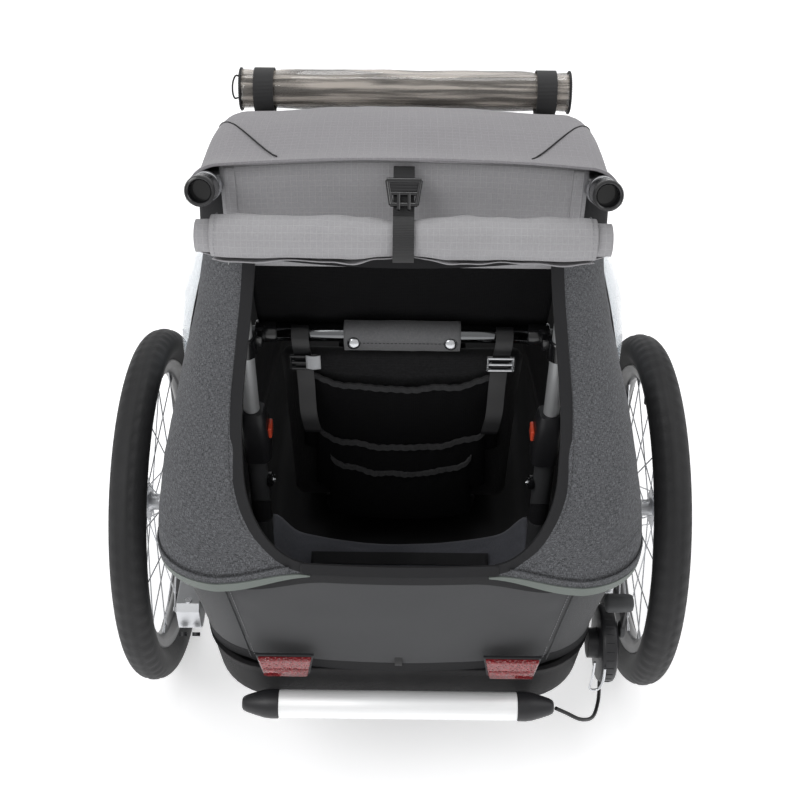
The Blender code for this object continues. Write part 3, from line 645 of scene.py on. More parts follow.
def main_wheel(side, word):
    body = "wheel_" + word
    hub = at(side * WHEEL_X, 0, WHEEL_Z)
    steps = TREAD_BLOCKS * 4
    rows = []
    section = []
    for a in spread(-122, 122, 31):
        angle = math.radians(a)
        section.append((0.0235 * math.sin(angle), 0.2285 + (WHEEL_R - 0.2285) * math.cos(angle), a))
    section = [(-0.0118, 0.2068, 180), *section, (0.0118, 0.2068, 180)]
    for x, r, a in section:
        row = []
        for i in range(steps):
            angle = 2 * math.pi * i / steps
            phase = i % 4
            groove = 0.0
            if abs(a) < 9:
                groove = 0.0011 * (abs(a) > 3) * (phase == 0)
            elif abs(a) < 17:
                groove = 0.0013
            elif abs(a) < 58:
                groove = 0.0016 * ((i + (2 if a > 0 else 0)) % 4 == 0)
            elif abs(a) < 64:
                groove = -0.0003
            radius = r - groove
            row.append(hub + Vector((x, radius * math.sin(angle), radius * math.cos(angle))))
        rows.append(row)
    tyre = grid("tyre_detail_" + word, rows, closed=True)
    settle(tyre, body, "tyre", ["tyre_" + word])
    out = (side, 0, 0)
    profile = [(-0.0122, 0.2063), (-0.0130, 0.2045), (-0.0122, 0.2030), (-0.0122, 0.1965), (-0.0110, 0.1940),
               (-0.0070, 0.1886), (-0.0040, 0.1870), (0.0040, 0.1870), (0.0070, 0.1886), (0.0110, 0.1940),
               (0.0122, 0.1965), (0.0122, 0.2030), (0.0130, 0.2045), (0.0122, 0.2063)]
    settle(lathe("rim_detail_" + word, profile, hub, out, 160, ring=True), body, "rim", ["rim_" + word])
    barrel = [(-0.028, 0.0064), (-0.028, 0.0105), (-0.0262, 0.0125), (-0.0240, 0.0130), (-0.0240, 0.0250),
              (-0.0232, 0.0262), (-0.0212, 0.0262), (-0.0204, 0.0250), (-0.0200, 0.0150), (-0.0150, 0.0118),
              (0.0150, 0.0118), (0.0200, 0.0150), (0.0204, 0.0250), (0.0212, 0.0262), (0.0232, 0.0262),
              (0.0240, 0.0250), (0.0240, 0.0130), (0.0262, 0.0125), (0.028, 0.0105), (0.028, 0.0064)]
    shell = lathe("hub_shell_" + word, barrel, hub, out, 48, ring=True)
    settle(shell, body, "cast", ["hub_" + word])
    spokes = bmesh.new()
    nipples = bmesh.new()
    for i in range(28):
        rim_turn = 2 * math.pi * (i + 0.5) / 28
        flange = 0.0222 if i % 2 else -0.0222
        lean = math.radians(74) * (1 if (i // 2) % 2 else -1)
        hub_turn = rim_turn + lean
        inner = hub + Vector((flange, 0.0235 * math.sin(hub_turn), 0.0235 * math.cos(hub_turn)))
        outer = hub + Vector((flange * 0.12, 0.1872 * math.sin(rim_turn), 0.1872 * math.cos(rim_turn)))
        rod_between(spokes, inner, outer, 0.00095, 8)
        rod_between(nipples, outer, outer + (inner - outer).normalized() * 0.011, 0.0021, 8, end_radius=0.0015)
    settle(made("spokes_" + word, spokes), body, "spoke")
    settle(made("spoke_nipples_" + word, nipples), body, "steel")
    lean = math.radians(20 if side > 0 else 160)
    toward = Vector((0, math.sin(lean), math.cos(lean)))
    valve = lathe("valve_" + word, [(0, 0.0), (0, 0.0026), (0.012, 0.0026), (0.012, 0.0034), (0.024, 0.0034),
                                    (0.026, 0.0026), (0.026, 0.0)], hub + toward * 0.1868, -toward, 16)
    settle(valve, body, "plastic")


def wheel_fittings(side, word):
    """The push-in axle with its release cap, and the screws on the trailing arm."""
    body = "suspension_" + word
    low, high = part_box("wheel_axle_" + word)
    outer = max(abs(low.x), abs(high.x))
    inner = min(abs(low.x), abs(high.x))
    centre = at(0, 0, WHEEL_Z)
    profile = [(inner, 0.0), (inner, 0.0085), (inner + 0.003, 0.009), (inner + 0.0035, 0.006), (outer - 0.0078, 0.006),
               (outer - 0.0078, 0.0105), (outer - 0.0065, 0.0118), (outer - 0.0030, 0.0118), (outer - 0.0012, 0.0105),
               (outer - 0.0012, 0.0070), (outer - 0.0020, 0.0065), (outer - 0.0020, 0.0052), (outer, 0.0045),
               (outer, 0.0)]
    settle(lathe("axle_detail_" + word, profile, centre, (side, 0, 0), 40), body, "steel",
           ["wheel_axle_" + word])
    arm_low, arm_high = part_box("swing_arm_" + word)
    face = max(abs(arm_low.x), abs(arm_high.x)) * side
    rear = arm_low.y - AXLE.y
    bolts = []
    bm = bmesh.new()
    for y, z, r in ((rear + 0.022, 0.277, 0.0052), (rear + 0.022, 0.257, 0.0036), (0.055, 0.2315, 0.0040)):
        rod_between(bm, at(face, y, z), at(face + side * 0.0018, y, z), r, 16, end_radius=r * 0.92)
    for x in (0.263, 0.280):
        rod_between(bm, at(side * x, rear - 0.0075, 0.2505), at(side * x, rear - 0.0115, 0.2475), 0.0052, 16)
    settle(made("arm_screws_" + word, bm), body, "plastic")
    bm = bmesh.new()
    middle = side * 0.272
    rod_between(bm, at(middle, rear + 0.013, 0.2893), at(middle, rear + 0.013, 0.2915), 0.0050, 20,
                end_radius=0.0046)
    settle(made("preload_screw_" + word, bm), body, "steel")


for side, word in ((-1, "left"), (1, "right")):
    main_wheel(side, word)
    wheel_fittings(side, word)


# Frame tubes, struts and bumper

def finish_node(name, material, bevel=0.0, angle=35):
    """Give a frame node that stays in view its material and rounded edges."""
    node = bpy.data.objects[name]
    node.data.materials.clear()
    node.data.materials.append(M[material])
    weld = node.modifiers.new("weld", "WELD")
    weld.merge_threshold = 0.00002
    if bevel:
        edge = node.modifiers.new("edge", "BEVEL")
        edge.width = bevel
        edge.segments = 3
        edge.limit_method = "ANGLE"
        edge.angle_limit = math.radians(angle)
    shade = node.modifiers.new("shade", "WEIGHTED_NORMAL")
    shade.keep_sharp = False


def carve(obj, cutter):
    cut = obj.modifiers.new("cut", "BOOLEAN")
    cut.operation = "DIFFERENCE"
    cut.object = cutter
    obj = to_mesh(obj)
    bpy.data.objects.remove(cutter)
    return obj


def rounded_tube(name, a, b, radius, body, material, nodes=(), lip=0.0012, steps=48):
    along = Vector(b) - Vector(a)
    length = along.length
    profile = [(0, 0), (0, radius - lip), (lip * 0.4, radius - lip * 0.3), (lip, radius),
               (length - lip, radius), (length - lip * 0.4, radius - lip * 0.3), (length, radius - lip), (length, 0)]
    return settle(lathe(name, profile, Vector(a), along, steps), body, material, nodes)


def frame_tubes():
    for side, word in ((-1, "left"), (1, "right")):
        x = side * HOOP_X
        path = [at(x, p.y, p.z) for p in HOOP_PATH]
        settle(pipe("hoop_tube_" + word, path, HOOP_R, 28), "upper_frame", "tube", ["hoop_" + word])
        out = (path[0] - path[1]).normalized()
        socket = [(0.0, 0.0), (0.0, 0.0128), (0.0012, 0.0138), (0.012, 0.0140), (0.024, 0.0142), (0.0262, 0.0146),
                  (0.0285, 0.0146), (0.0302, 0.0137), (0.0306, 0.0122), (0.0298, 0.0110), (0.0280, 0.0102),
                  (0.0060, 0.0100), (0.0050, 0.0)]
        ring = lathe("socket_detail_" + word, socket, path[0] + out * 0.0004, out, 48)
        settle(ring, "upper_frame", "gloss", ["push_bar_socket_" + word])
        collar = [(0, 0.0126), (0, 0.0140), (0.0010, 0.0146), (0.0105, 0.0146), (0.0115, 0.0140), (0.0115, 0.0126)]
        settle(lathe("socket_collar_" + word, collar, path[0] - out * 0.0135, out, 48, ring=True), "upper_frame",
               "steel")
        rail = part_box("floor_rail_" + word)
        rounded_tube("rail_tube_" + word, (side * 0.18, rail[0].y, 0.2025), (side * 0.18, rail[1].y, 0.2025),
                     0.0125, "chassis", "tube", ["floor_rail_" + word])
        strut(side, word)
    for node, material, bevel in (("axle_beam", "plastic", 0.002), ("front_cross_tube", "tube", 0.001),
                                  ("rear_cross_tube", "tube", 0), ("roof_cross_tube", "tube", 0),
                                  ("swing_arm_left", "cast", 0.0022), ("swing_arm_right", "cast", 0.0022),
                                  ("suspension_bush_left", "bush", 0), ("suspension_bush_right", "bush", 0),
                                  ("tow_bracket", "plastic", 0.0015), ("tow_arm", "coat", 0.001),
                                  ("tow_coupler", "plastic", 0.001), ("stroller_arm", "coat", 0.002),
                                  ("stroller_fork", "plastic", 0.0025)):
        finish_node(node, material, bevel)
    for word in ("rear_cross_tube", "roof_cross_tube"):
        low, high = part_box(word)
        middle = (low + high) / 2
        body = "chassis" if word.startswith("rear") else "upper_frame"
        rounded_tube(word + "_detail", (low.x, middle.y, middle.z), (high.x, middle.y, middle.z),
                     (high.z - low.z) / 2, body, "tube", [word])


def strut(side, word):
    x = side * STRUT_X
    place = at(x, STRUT_Y, 0)
    rounded_tube("strut_tube_" + word, at(x, STRUT_Y, 0.466), at(x, STRUT_Y, 0.835), 0.0095, "rear_struts",
                 "strut", ["rear_strut_" + word])
    sleeves = []
    for name, radius, low, high, body, material, slot in (
            ("strut_sleeve_", 0.0125, 0.3834, 0.468, "rear_struts", "grey_coat", "satin_tube"),
            ("upright_sleeve_", 0.0125, 0.355, 0.3826, "chassis", "coat", "black_metal")):
        loops = []
        slanted = high if body == "chassis" else low
        for z in (low, low + 0.0012, high - 0.0012, high):
            r = radius - (0.0010 if z in (low, high) and z != slanted else 0.0)
            loops.append([place + Vector((r * math.cos(a), r * math.sin(a), z - (
                r * math.sin(a) if abs(z - slanted) < 0.002 else 0)))
                for a in (2 * math.pi * i / 48 for i in range(48))])
        piece = settle(loft(name + word, loops), body, material)
        sleeves.append(piece)
    base = 0.2154
    profile = [(0, 0), (0, 0.0160), (0.001, 0.0165), (0.010, 0.0165), (0.013, 0.0150), (0.016, 0.0120),
               (0.138, 0.0118), (0.140, 0.0)]
    settle(lathe("lower_upright_detail_" + word, profile, at(x, STRUT_Y, base), (0, 0, 1), 48), "chassis",
           "grey_coat", ["lower_upright_" + word])
    inward = Vector((-side, 0, 0))
    washer = [(0, 0), (0, 0.0092), (0.0015, 0.0098), (0.0048, 0.0098), (0.0060, 0.0088), (0.0060, 0)]
    settle(lathe("joint_washer_" + word, washer, at(side * (STRUT_X - 0.0118), STRUT_Y - 0.001, 0.4245), inward, 32),
           "rear_struts", "gloss")
    bolt = [(0, 0), (0, 0.0056), (0.0012, 0.0060), (0.0026, 0.0052), (0.0030, 0.0032), (0.0018, 0.0028), (0.0018, 0)]
    settle(lathe("joint_bolt_" + word, bolt, at(side * (STRUT_X - 0.0178), STRUT_Y - 0.001, 0.4245), inward, 24),
           "rear_struts", "steel")
    loops = []
    centre = at(side * 0.17675, STRUT_Y, 0)
    for z, rx, ry, shift in ((0.4686, 0.0150, 0.0185, 0), (0.4700, 0.0164, 0.0200, 0), (0.4900, 0.0166, 0.0214, 0),
                             (0.5150, 0.0162, 0.0205, 0.0), (0.5300, 0.0152, 0.0180, 0.0008),
                             (0.5410, 0.0138, 0.0152, 0.0010), (0.5440, 0.0118, 0.0132, 0.0010)):
        loop = []
        for i in range(48):
            a = 2 * math.pi * i / 48
            c, s = math.cos(a), math.sin(a)
            loop.append(centre + Vector((rx * math.copysign(abs(c) ** 0.55, c) + side * shift,
                                         ry * math.copysign(abs(s) ** 0.55, s), z)))
        loops.append(loop)
    knuckle = loft("knuckle_detail_" + word, loops)
    pocket = blocks("pocket", [(at(side * 0.150, STRUT_Y - 0.0110, 0.5030), at(side * 0.1672, STRUT_Y + 0.0110, 0.5210))],
                    0.001)
    settle(carve(knuckle, pocket), "rear_struts", "plastic", ["strut_knuckle_" + word])
    ridges = [(at(side * 0.1572, STRUT_Y - 0.0100, 0.5040), at(side * 0.1620, STRUT_Y + 0.0100, 0.5200))]
    button = blocks("button_detail_" + word, ridges, 0.0018, 3)
    settle(button, "release_button_" + word, "button", ["release_button_" + word])


def bumper():
    rounded_tube("bumper_tube_detail", at(-0.15, -0.315, 0.218), at(0.15, -0.315, 0.218), 0.0175, "chassis", "satin",
                 ["bumper_tube"], lip=0.001, steps=72)
    for side, word in ((-1, "left"), (1, "right")):
        profile = [(0, 0), (0, 0.0176), (0.0008, 0.0184), (0.010, 0.0184), (0.018, 0.0174), (0.030, 0.0140),
                   (0.040, 0.0108), (0.0445, 0.0085), (0.0460, 0.0062), (0.0464, 0.0)]
        cap = lathe("bumper_cap_" + word, profile, at(side * 0.1504, -0.315, 0.218), (side, 0, 0), 48)
        settle(cap, "chassis", "plastic", ["bumper_end_" + word])
        outline = [(-0.10, 0.178), (-0.10, 0.1848), (-0.296, 0.1848), (-0.315, 0.206), (-0.321, 0.198), (-0.300, 0.174)]
        loops = [[at(side * x, y, z) for y, z in outline] for x in (0.158, 0.170)]
        stay = loft("bumper_stay_" + word, loops)
        edge = stay.modifiers.new("edge", "BEVEL")
        edge.width, edge.segments = 0.0015, 2
        settle(stay, "chassis", "plastic")
        reflector(side, word)


def reflector(side, word):
    x = side * 0.139
    face = [(-0.0335, 0.0195), (0.0335, 0.0195), (0.0275, -0.0155), (-0.0275, -0.0155)]

    def loop(y, grow):
        return [at(x + u * grow, y, 0.285 + v * grow) for u, v in face]

    housing = loft("reflector_base_" + word, [loop(-0.3012, 1.06), loop(-0.3048, 1.06), loop(-0.3056, 1.02)])
    lens = loft("reflector_lens_" + word, [loop(-0.3050, 0.98), loop(-0.3090, 0.98), loop(-0.3112, 0.92)])
    for piece, material, nodes in ((housing, "plastic", []), (lens, "red", ["reflector_" + word])):
        edge = piece.modifiers.new("edge", "BEVEL")
        edge.width, edge.segments = 0.0011, 3
        settle(piece, "chassis", material, nodes)
    rows = [[at(x + u, -0.3114, 0.285 + v) for u in (-0.0290 + 0.0026 * k, 0.0290 - 0.0026 * k)]
            for k, v in ((1.0, -0.0120), (0.4, 0.0015))]
    strip = thicken(grid("reflector_prism_" + word, rows), 0.0006)
    settle(strip, "chassis", "red")


frame_tubes()
bumper()


# Tub and lower skirt

def flat_cloth(obj):
    """Return the sheet unchanged."""
    return obj


def tub_outline(grow, height, count=12):
    points = []
    corners = [(0.24 + grow, -0.285 - grow, CORNER_R, -90), (0.215 + grow, 0.62 + grow, 0.03, 0),
               (-0.215 - grow, 0.62 + grow, 0.03, 90), (-0.24 - grow, -0.285 - grow, CORNER_R, 180)]
    for x, y, r, first in corners:
        centre = Vector((x - math.copysign(r, x), y - math.copysign(r, y)))
        for angle in spread(math.radians(first), math.radians(first + 90), count):
            points.append((centre.x + r * math.cos(angle), centre.y + r * math.sin(angle)))
        sides = spread(0.0, 0.54, 13)
        if first == -90:
            points += [(skirt_half(v, 0.19) + grow, v) for v in sides]
        if first == 90:
            points += [(-skirt_half(v, 0.19) - grow, v) for v in reversed(sides)]
    return [at(x, y, height(y)) for x, y in points]


def tub():
    base = 0.1855
    rows = []
    for share in (0.02, 0.35, 0.7, 0.9):
        loop = tub_outline(-0.012, lambda y: base)
        middle = at(0, 0.17, base)
        rows.append([middle + (p - middle) * share for p in loop])
    rows.append(tub_outline(-0.0065, lambda y: base + 0.0003))
    rows.append(tub_outline(-0.0018, lambda y: base + 0.0022))
    rows.append(tub_outline(0.0, lambda y: base + 0.0060))
    for v in (0.25, 0.5, 0.75):
        rows.append(tub_outline(0.006 * v, lambda y: mix(base + 0.006, tub_rim(y), v)))
    rows.append(tub_outline(0.006, lambda y: tub_rim(y) - 0.004))
    rows.append(tub_outline(0.0072, lambda y: tub_rim(y) - 0.0028))
    rows.append(tub_outline(0.0072, lambda y: tub_rim(y) - 0.0004))
    rows.append(tub_outline(0.0045, lambda y: tub_rim(y)))
    rows.append(tub_outline(0.0025, lambda y: tub_rim(y) - 0.0006))
    rows.append(tub_outline(-0.0035, lambda y: base + 0.014))
    rows.append(tub_outline(-0.0090, lambda y: base + 0.0045))
    for share in (0.9, 0.6, 0.3, 0.02):
        loop = tub_outline(-0.012, lambda y: base + 0.004)
        middle = at(0, 0.17, base + 0.004)
        rows.append([middle + (p - middle) * share for p in loop])
    settle(grid("tub_shell", rows, closed=True, smooth=50), "chassis", "tub", ["floor_tub"])


def skirt_height(y, share):
    return mix(tub_rim(y) + 0.003, SKIRT_TOP - 0.001, share)


def skirt_point_row(share, outward=0.0, counts=(14, 16, 28), front=0.50):
    def half(y):
        return skirt_half(y, skirt_height(y, share)) + 0.001 + outward

    points = []
    for x, y in corner_path(half, -0.2905 - 0.007 * share - outward, front, 0.0, counts):
        middle = 0.0265 * share ** 2 * (1 - ease((x - 0.085) / 0.10)) * (y < -0.2)
        points.append((x, y - 0.002 * (middle > 0), skirt_height(y, share) + middle))
    return points


def skirt():
    rows = []
    for share in spread(0, 1, 17):
        right = skirt_point_row(share)
        left = [(-x, y, z) for x, y, z in reversed(right[1:])]
        row = []
        for x, y, z in left + right:
            puff = 0.0022 * math.sin(math.pi * share) * (0.4 + 0.6 * ripple((x, y, z), 0.05, 3.0))
            corner = ease((abs(x) - 0.12) / 0.1)
            row.append(at(x * (1 + puff * corner * 3), y - puff * (1 - corner), z))
        rows.append(row)
    panel = thicken(grid("skirt_cloth", rows), 0.0022, inner=1)
    panel.data.materials.append(M["panel"])
    panel.data.materials.append(M["lining"])
    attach(panel, "chassis")
    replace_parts(panel, "lower_back_panel")
    for side, word in ((-1, "left"), (1, "right")):
        low, high = (0.185, -0.2895, 0.270), (0.2085, -0.2915, 0.4275)
        for name, shift in (("skirt_seam_", 0.0), ("skirt_seam_inner_", 0.006)):
            path = []
            for t in spread(0, 1, 14):
                share = t * 0.97
                x_seam = mix(low[0], high[0], t) - shift
                points = skirt_point_row(share, 0.0018)
                path.append(_on_row(points, x_seam, side))
            if shift:
                piece = stitches(name + word, path, 0.0032, 0.0018, 0.0004)
                settle(piece, "chassis", "pale_thread")
            else:
                piece = pipe(name + word, path, 0.0011, 8)
                settle(piece, "chassis", "panel")
    for share, name in ((0.03, "skirt_hem_low"), (0.955, "skirt_hem_high")):
        right = skirt_point_row(share, 0.0012)
        left = [(-x, y, z) for x, y, z in reversed(right[1:])]
        band = ribbon(name, [at(*p) for p in left + right], (0, 0, 1), 0.016, 0.0014)
        settle(band, "chassis", "binding")
    flat_cloth(panel)
    tab = ribbon("pull_tab", [at(0.0, -0.2925 - 0.004 * math.sin(math.pi * t), 0.292 - 0.020 * t)
                              for t in spread(0, 1, 8)], (1, 0, 0), 0.009, 0.0028)
    settle(tab, "chassis", "webbing")


def _on_row(points, x, side):
    for a, b in zip(points, points[1:]):
        if a[0] <= x <= b[0]:
            t = (x - a[0]) / (b[0] - a[0])
            return at(side * x, mix(a[1], b[1], t), mix(a[2], b[2], t))
    return at(side * points[-1][0], points[-1][1], points[-1][2])


tub()
skirt()


# Side covers and windows


def bend(obj):
    """Bake the transform of a piece of fabric between the chassis and the folding upper frame."""
    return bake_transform(obj)


def cover_section(z, outward):
    """A cover's horizontal section from the opening's edge to the split."""
    rear = cover_rear(z) - outward
    path = corner_path(lambda y: cover_half(y, z) + outward, rear, SPLIT_Y, 0.0, (16, 24, 16))
    inner = opening_half(z)
    first = next(i for i, p in enumerate(path) if p[0] > inner)
    (ax, ay), (bx, by) = path[first - 1], path[first]
    return [(inner, mix(ay, by, (inner - ax) / (bx - ax))), *path[first:]]


def cover_point(side, u, v, outward=0.0):
    """A place on a side cover: u runs from the opening's edge to the split, v from the skirt to the roof."""
    low = SKIRT_TOP + 0.025 * (1 - ease(u / 0.24))
    high = COVER_TOP + ease((u - 0.26) / 0.14) * mix(0.032, 0.004, (u - 0.4) / 0.6)
    z = low + (high - low) * v
    path = cover_section(z, outward)
    total = [0.0]
    for a, b in zip(path, path[1:]):
        total.append(total[-1] + math.dist(a, b))
    reach = u * total[-1]
    i = next((i for i in range(len(path) - 1) if reach <= total[i + 1]), len(path) - 2)
    t = (reach - total[i]) / (total[i + 1] - total[i])
    return at(side * mix(path[i][0], path[i + 1][0], t), mix(path[i][1], path[i + 1][1], t), z)


def side_cover(side, word):
    rows = []
    us = spread(0, 1, 54)
    vs = [v ** 1.35 for v in spread(0, 1, 56)]
    for v in vs:
        row = []
        for u in us:
            p = cover_point(side, u, v)
            away = Vector((side * 0.6, -0.8, 0)) if u < 0.55 else Vector((side, 0, 0))
            edge = min(u, 1 - u, v, 1 - v)
            soft = 0.0030 * ripple(p, 0.07, 11.0 + side) + 0.0012 * ripple(p, 0.025, 5.0)
            hollow = -0.0035 * math.sin(math.pi * v) * math.sin(math.pi * u)
            row.append(p + away * (soft * ease(edge / 0.12) + hollow))
        rows.append(row)
    cover = thicken(grid("side_cover_cloth_" + word, rows, flip=side < 0), 0.0024, inner=1)
    cover.data.materials.append(M["heather"])
    cover.data.materials.append(M["lining"])
    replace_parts(cover, "side_cover_" + word)
    edge = [cover_point(side, 0.0, mix(0.034, 1.0, v ** 2.2), 0.0012) for v in spread(0, 1, 90)]
    outer = Vector((side * 0.25, -1, 0.25))

    def away(i):
        """Along the cover, away from the opening."""
        ahead = edge[min(i + 1, 89)] - edge[max(i - 1, 0)]
        return outer.cross(ahead).normalized() * -side

    tape = [p + away(i) * 0.0055 for i, p in enumerate(edge)]
    binding = ribbon("opening_binding_" + word, tape, away, 0.0130, 0.0030)
    settle(binding, None, "binding")
    hem = ribbon("cover_hem_" + word, [cover_point(side, u, 0.012, 0.0016) for u in spread(0.05, 1, 70)], (0, 0, 1),
                 0.014, 0.0016)
    settle(hem, None, "heather")
    piping = ribbon("cover_piping_" + word, [cover_point(side, u, -0.010, 0.0004) for u in spread(0.0, 0.42, 46)],
                    (0, 0, 1), [0.002 + 0.0105 * math.sin(math.pi * t) ** 0.7 for t in spread(0, 1, 46)], 0.0022)
    settle(piping, None, "reflect")
    rows = [[cover_point(side, u, v, 0.0017) for u in (0.985, 0.999)] for v in spread(0, 1, 30)]
    post = ribbon("cover_edge_" + word, [(a + b) / 2 for a, b in rows], (0, 1, 0.2), 0.014, 0.0026)
    settle(post, None, "binding")
    lines = []
    for name, path in (("cover_stitch_low_", [cover_point(side, u, 0.034, 0.0019) for u in spread(0.07, 0.98, 80)]),
                       ("cover_stitch_top_", [cover_point(side, u, 0.965, 0.0019) for u in spread(0.03, 0.98, 80)]),
                       ("cover_stitch_edge_", [cover_point(side, 0.042, v, 0.0024) for v in spread(0.14, 0.97, 80)])):
        line = stitches(name + word, path, 0.0034, 0.0018, 0.00042)
        settle(line, None, "thread")
        lines.append(line)
    pieces = [binding, hem, piping, post, *lines]
    for piece in [cover, *pieces]:
        bend(piece)
    flat_cloth(cover)


def window_point(side, u, v, outward=0.0):
    y = mix(SPLIT_Y + 0.0035, 0.455, u)
    top = hoop_z(y) - 0.024
    z = 0.445 + (top - 0.445) * v
    along = (y - SPLIT_Y) / 0.425
    bulge = 0.024 * math.sin(math.pi * v ** 0.55) * math.sin(math.pi * min(1, along) ** 0.62)
    return at(side * (cover_half(y, z) + bulge + outward), y, z)


def side_window(side, word):
    rows = []
    for v in spread(0, 1, 36):
        row = []
        for u in spread(0, 1, 40):
            p = window_point(side, u, v)
            edge = ease(min(u, 1 - u, v, 1 - v) / 0.15)
            p.x += side * 0.0016 * edge * (ripple(p, 0.05, 7.0) + 0.6 * math.sin(34 * (u + 0.7 * v)) * (1 - v))
            row.append(p)
        rows.append(row)
    pane = thicken(grid("window_film_" + word, rows, flip=side < 0), 0.0009)
    settle(pane, None, "film", ["side_window_" + word])
    borders = []
    for name, path, width in (
            ("low", [window_point(side, u, 0.0, 0.001) for u in spread(0, 1, 30)], 0.020),
            ("top", [window_point(side, u, 1.0, 0.001) for u in spread(0, 1, 40)], 0.022),
            ("front", [window_point(side, 1.0, v, 0.001) for v in spread(0, 1, 24)], 0.018)):
        across = (0, 0, 1) if name != "front" else (0, 1, 0)
        border = ribbon("window_border_%s_%s" % (name, word), path, across, width, 0.0026)
        settle(border, None, "heather")
        borders.append(border)
    for piece in (pane, *borders):
        bend(piece)
    flat_cloth(pane)


for side, word in ((-1, "left"), (1, "right")):
    side_cover(side, word)
    side_window(side, word)


# Roof, rear cover roll and window roll

def canopy_point(x, y, lift=0.0):
    shoulder_x, shoulder_r = 0.176, 0.036
    base = hoop_z(y, HOOP_R + 0.0035) + 0.0045
    a = abs(x)
    if a <= shoulder_x:
        return at(x, y, base + 0.008 * (1 - (a / shoulder_x) ** 2) + lift)
    along = a - shoulder_x
    angle = along / shoulder_r
    if angle <= math.pi / 2:
        out = math.sin(angle)
        return at(math.copysign(shoulder_x + (shoulder_r + lift) * out, x), y,
                  base - shoulder_r + (shoulder_r + lift) * math.cos(angle))
    down = (angle - math.pi / 2) * shoulder_r
    return at(math.copysign(shoulder_x + shoulder_r + lift, x), y, base - shoulder_r - down)


ROOF_ARC = 0.176 + 0.036 * math.pi / 2 + 0.005


def canopy():
    rows = []
    for y in spread(HEM_Y, ROOF_FRONT, 44):
        row = []
        for x in spread(-ROOF_ARC, ROOF_ARC, 74):
            p = canopy_point(x, y)
            slack = math.sin(math.pi * (y - HEM_Y) / (ROOF_FRONT - HEM_Y))
            over = math.exp(-((abs(x) - 0.19) / 0.03) ** 2)
            p.z += (1 - over) * (0.0018 * ripple(p, 0.09, 2.0) + 0.0008 * ripple(p, 0.03, 8.0) - 0.0018 * slack)
            row.append(p)
        rows.append(row)
    roof = thicken(grid("canopy_cloth", rows), 0.0024, inner=1)
    roof.data.materials.append(M["roof"])
    roof.data.materials.append(M["lining"])
    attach(roof, "upper_frame")
    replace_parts(roof, "canopy")
    across = spread(-ROOF_ARC + 0.002, ROOF_ARC - 0.002, 80)
    for name, y, width in (("canopy_hem", HEM_Y + 0.004, 0.009), ("canopy_front_binding", ROOF_FRONT - 0.003, 0.008)):
        path = [canopy_point(x, y, 0.0012) for x in across]
        band = ribbon(name, path, lambda i: (0, 1, -0.35), width, 0.0022)
        settle(band, "upper_frame", "roof")
    lines = [("canopy_stitch_hem", [canopy_point(x, HEM_Y + 0.017, 0.0016) for x in across]),
             ("canopy_stitch_edge", [canopy_point(x, HEM_Y + 0.0085, 0.0016) for x in across]),
             ("canopy_stitch_front", [canopy_point(x, ROOF_FRONT - 0.010, 0.0016) for x in across])]
    for side, word in ((-1, "left"), (1, "right")):
        diagonal = [canopy_point(side * mix(0.1265, 0.2365, t), mix(HEM_Y + 0.036, 0.066, t), 0.0012)
                    for t in spread(0, 1, 50)]
        cord = pipe("canopy_piping_" + word, diagonal, 0.0008, 8)
        settle(cord, "upper_frame", "binding")
    for name, path in lines:
        settle(stitches(name, path, 0.0030, 0.0016, 0.0004), "upper_frame", "pale_thread")
    flat_cloth(roof)


def upper_panel():
    rows = []
    for t in spread(0, 1, 20):
        row = []
        for x in spread(-0.1800, 0.1800, 60):
            crown = 0.008 * (x / 0.176) ** 2
            p = at(x, -0.160 - 0.010 * t, mix(0.9092 - crown, 0.790, t))
            p.y -= 0.0020 * ripple(p, 0.04, 4.0) * math.sin(math.pi * t)
            row.append(p)
        rows.append(row)
    panel = thicken(grid("upper_panel_cloth", rows, flip=True), 0.0022, inner=1)
    panel.data.materials.append(M["roll"])
    panel.data.materials.append(M["lining"])
    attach(panel, "upper_frame")
    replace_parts(panel, "upper_back_panel")
    for side, word in ((-1, "left"), (1, "right")):
        path = [at(side * 0.1705, -0.1618 - 0.010 * t, 0.900 - 0.110 * t) for t in spread(0.0, 1.0, 24)]
        fold = ribbon("upper_panel_fold_" + word, path, (1, 0, 0), 0.0100, 0.0014)
        settle(fold, "upper_frame", "roll")
    flat_cloth(panel)
    for side, word in ((-1, "left"), (1, "right")):
        rows = []
        for t in spread(0, 1, 22):
            row = []
            for s in spread(0, 1, 14):
                z = mix(0.890 - 0.034 * s * s, 0.800, t)
                x = mix(0.166, 0.2065, s)
                y = -0.155 - 0.016 * t + 0.016 * s * s - 0.004 * math.sin(math.pi * t) * (1 + ripple((x, t, 0), 0.4, 2.0))
                row.append(at(side * x, y, z))
            rows.append(row)
        flap = thicken(grid("corner_flap_" + word, rows, flip=side > 0), 0.0022, inner=1)
        flap.data.materials.append(M["binding"])
        flap.data.materials.append(M["lining"])
        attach(flap, "upper_frame")
        flat_cloth(flap)


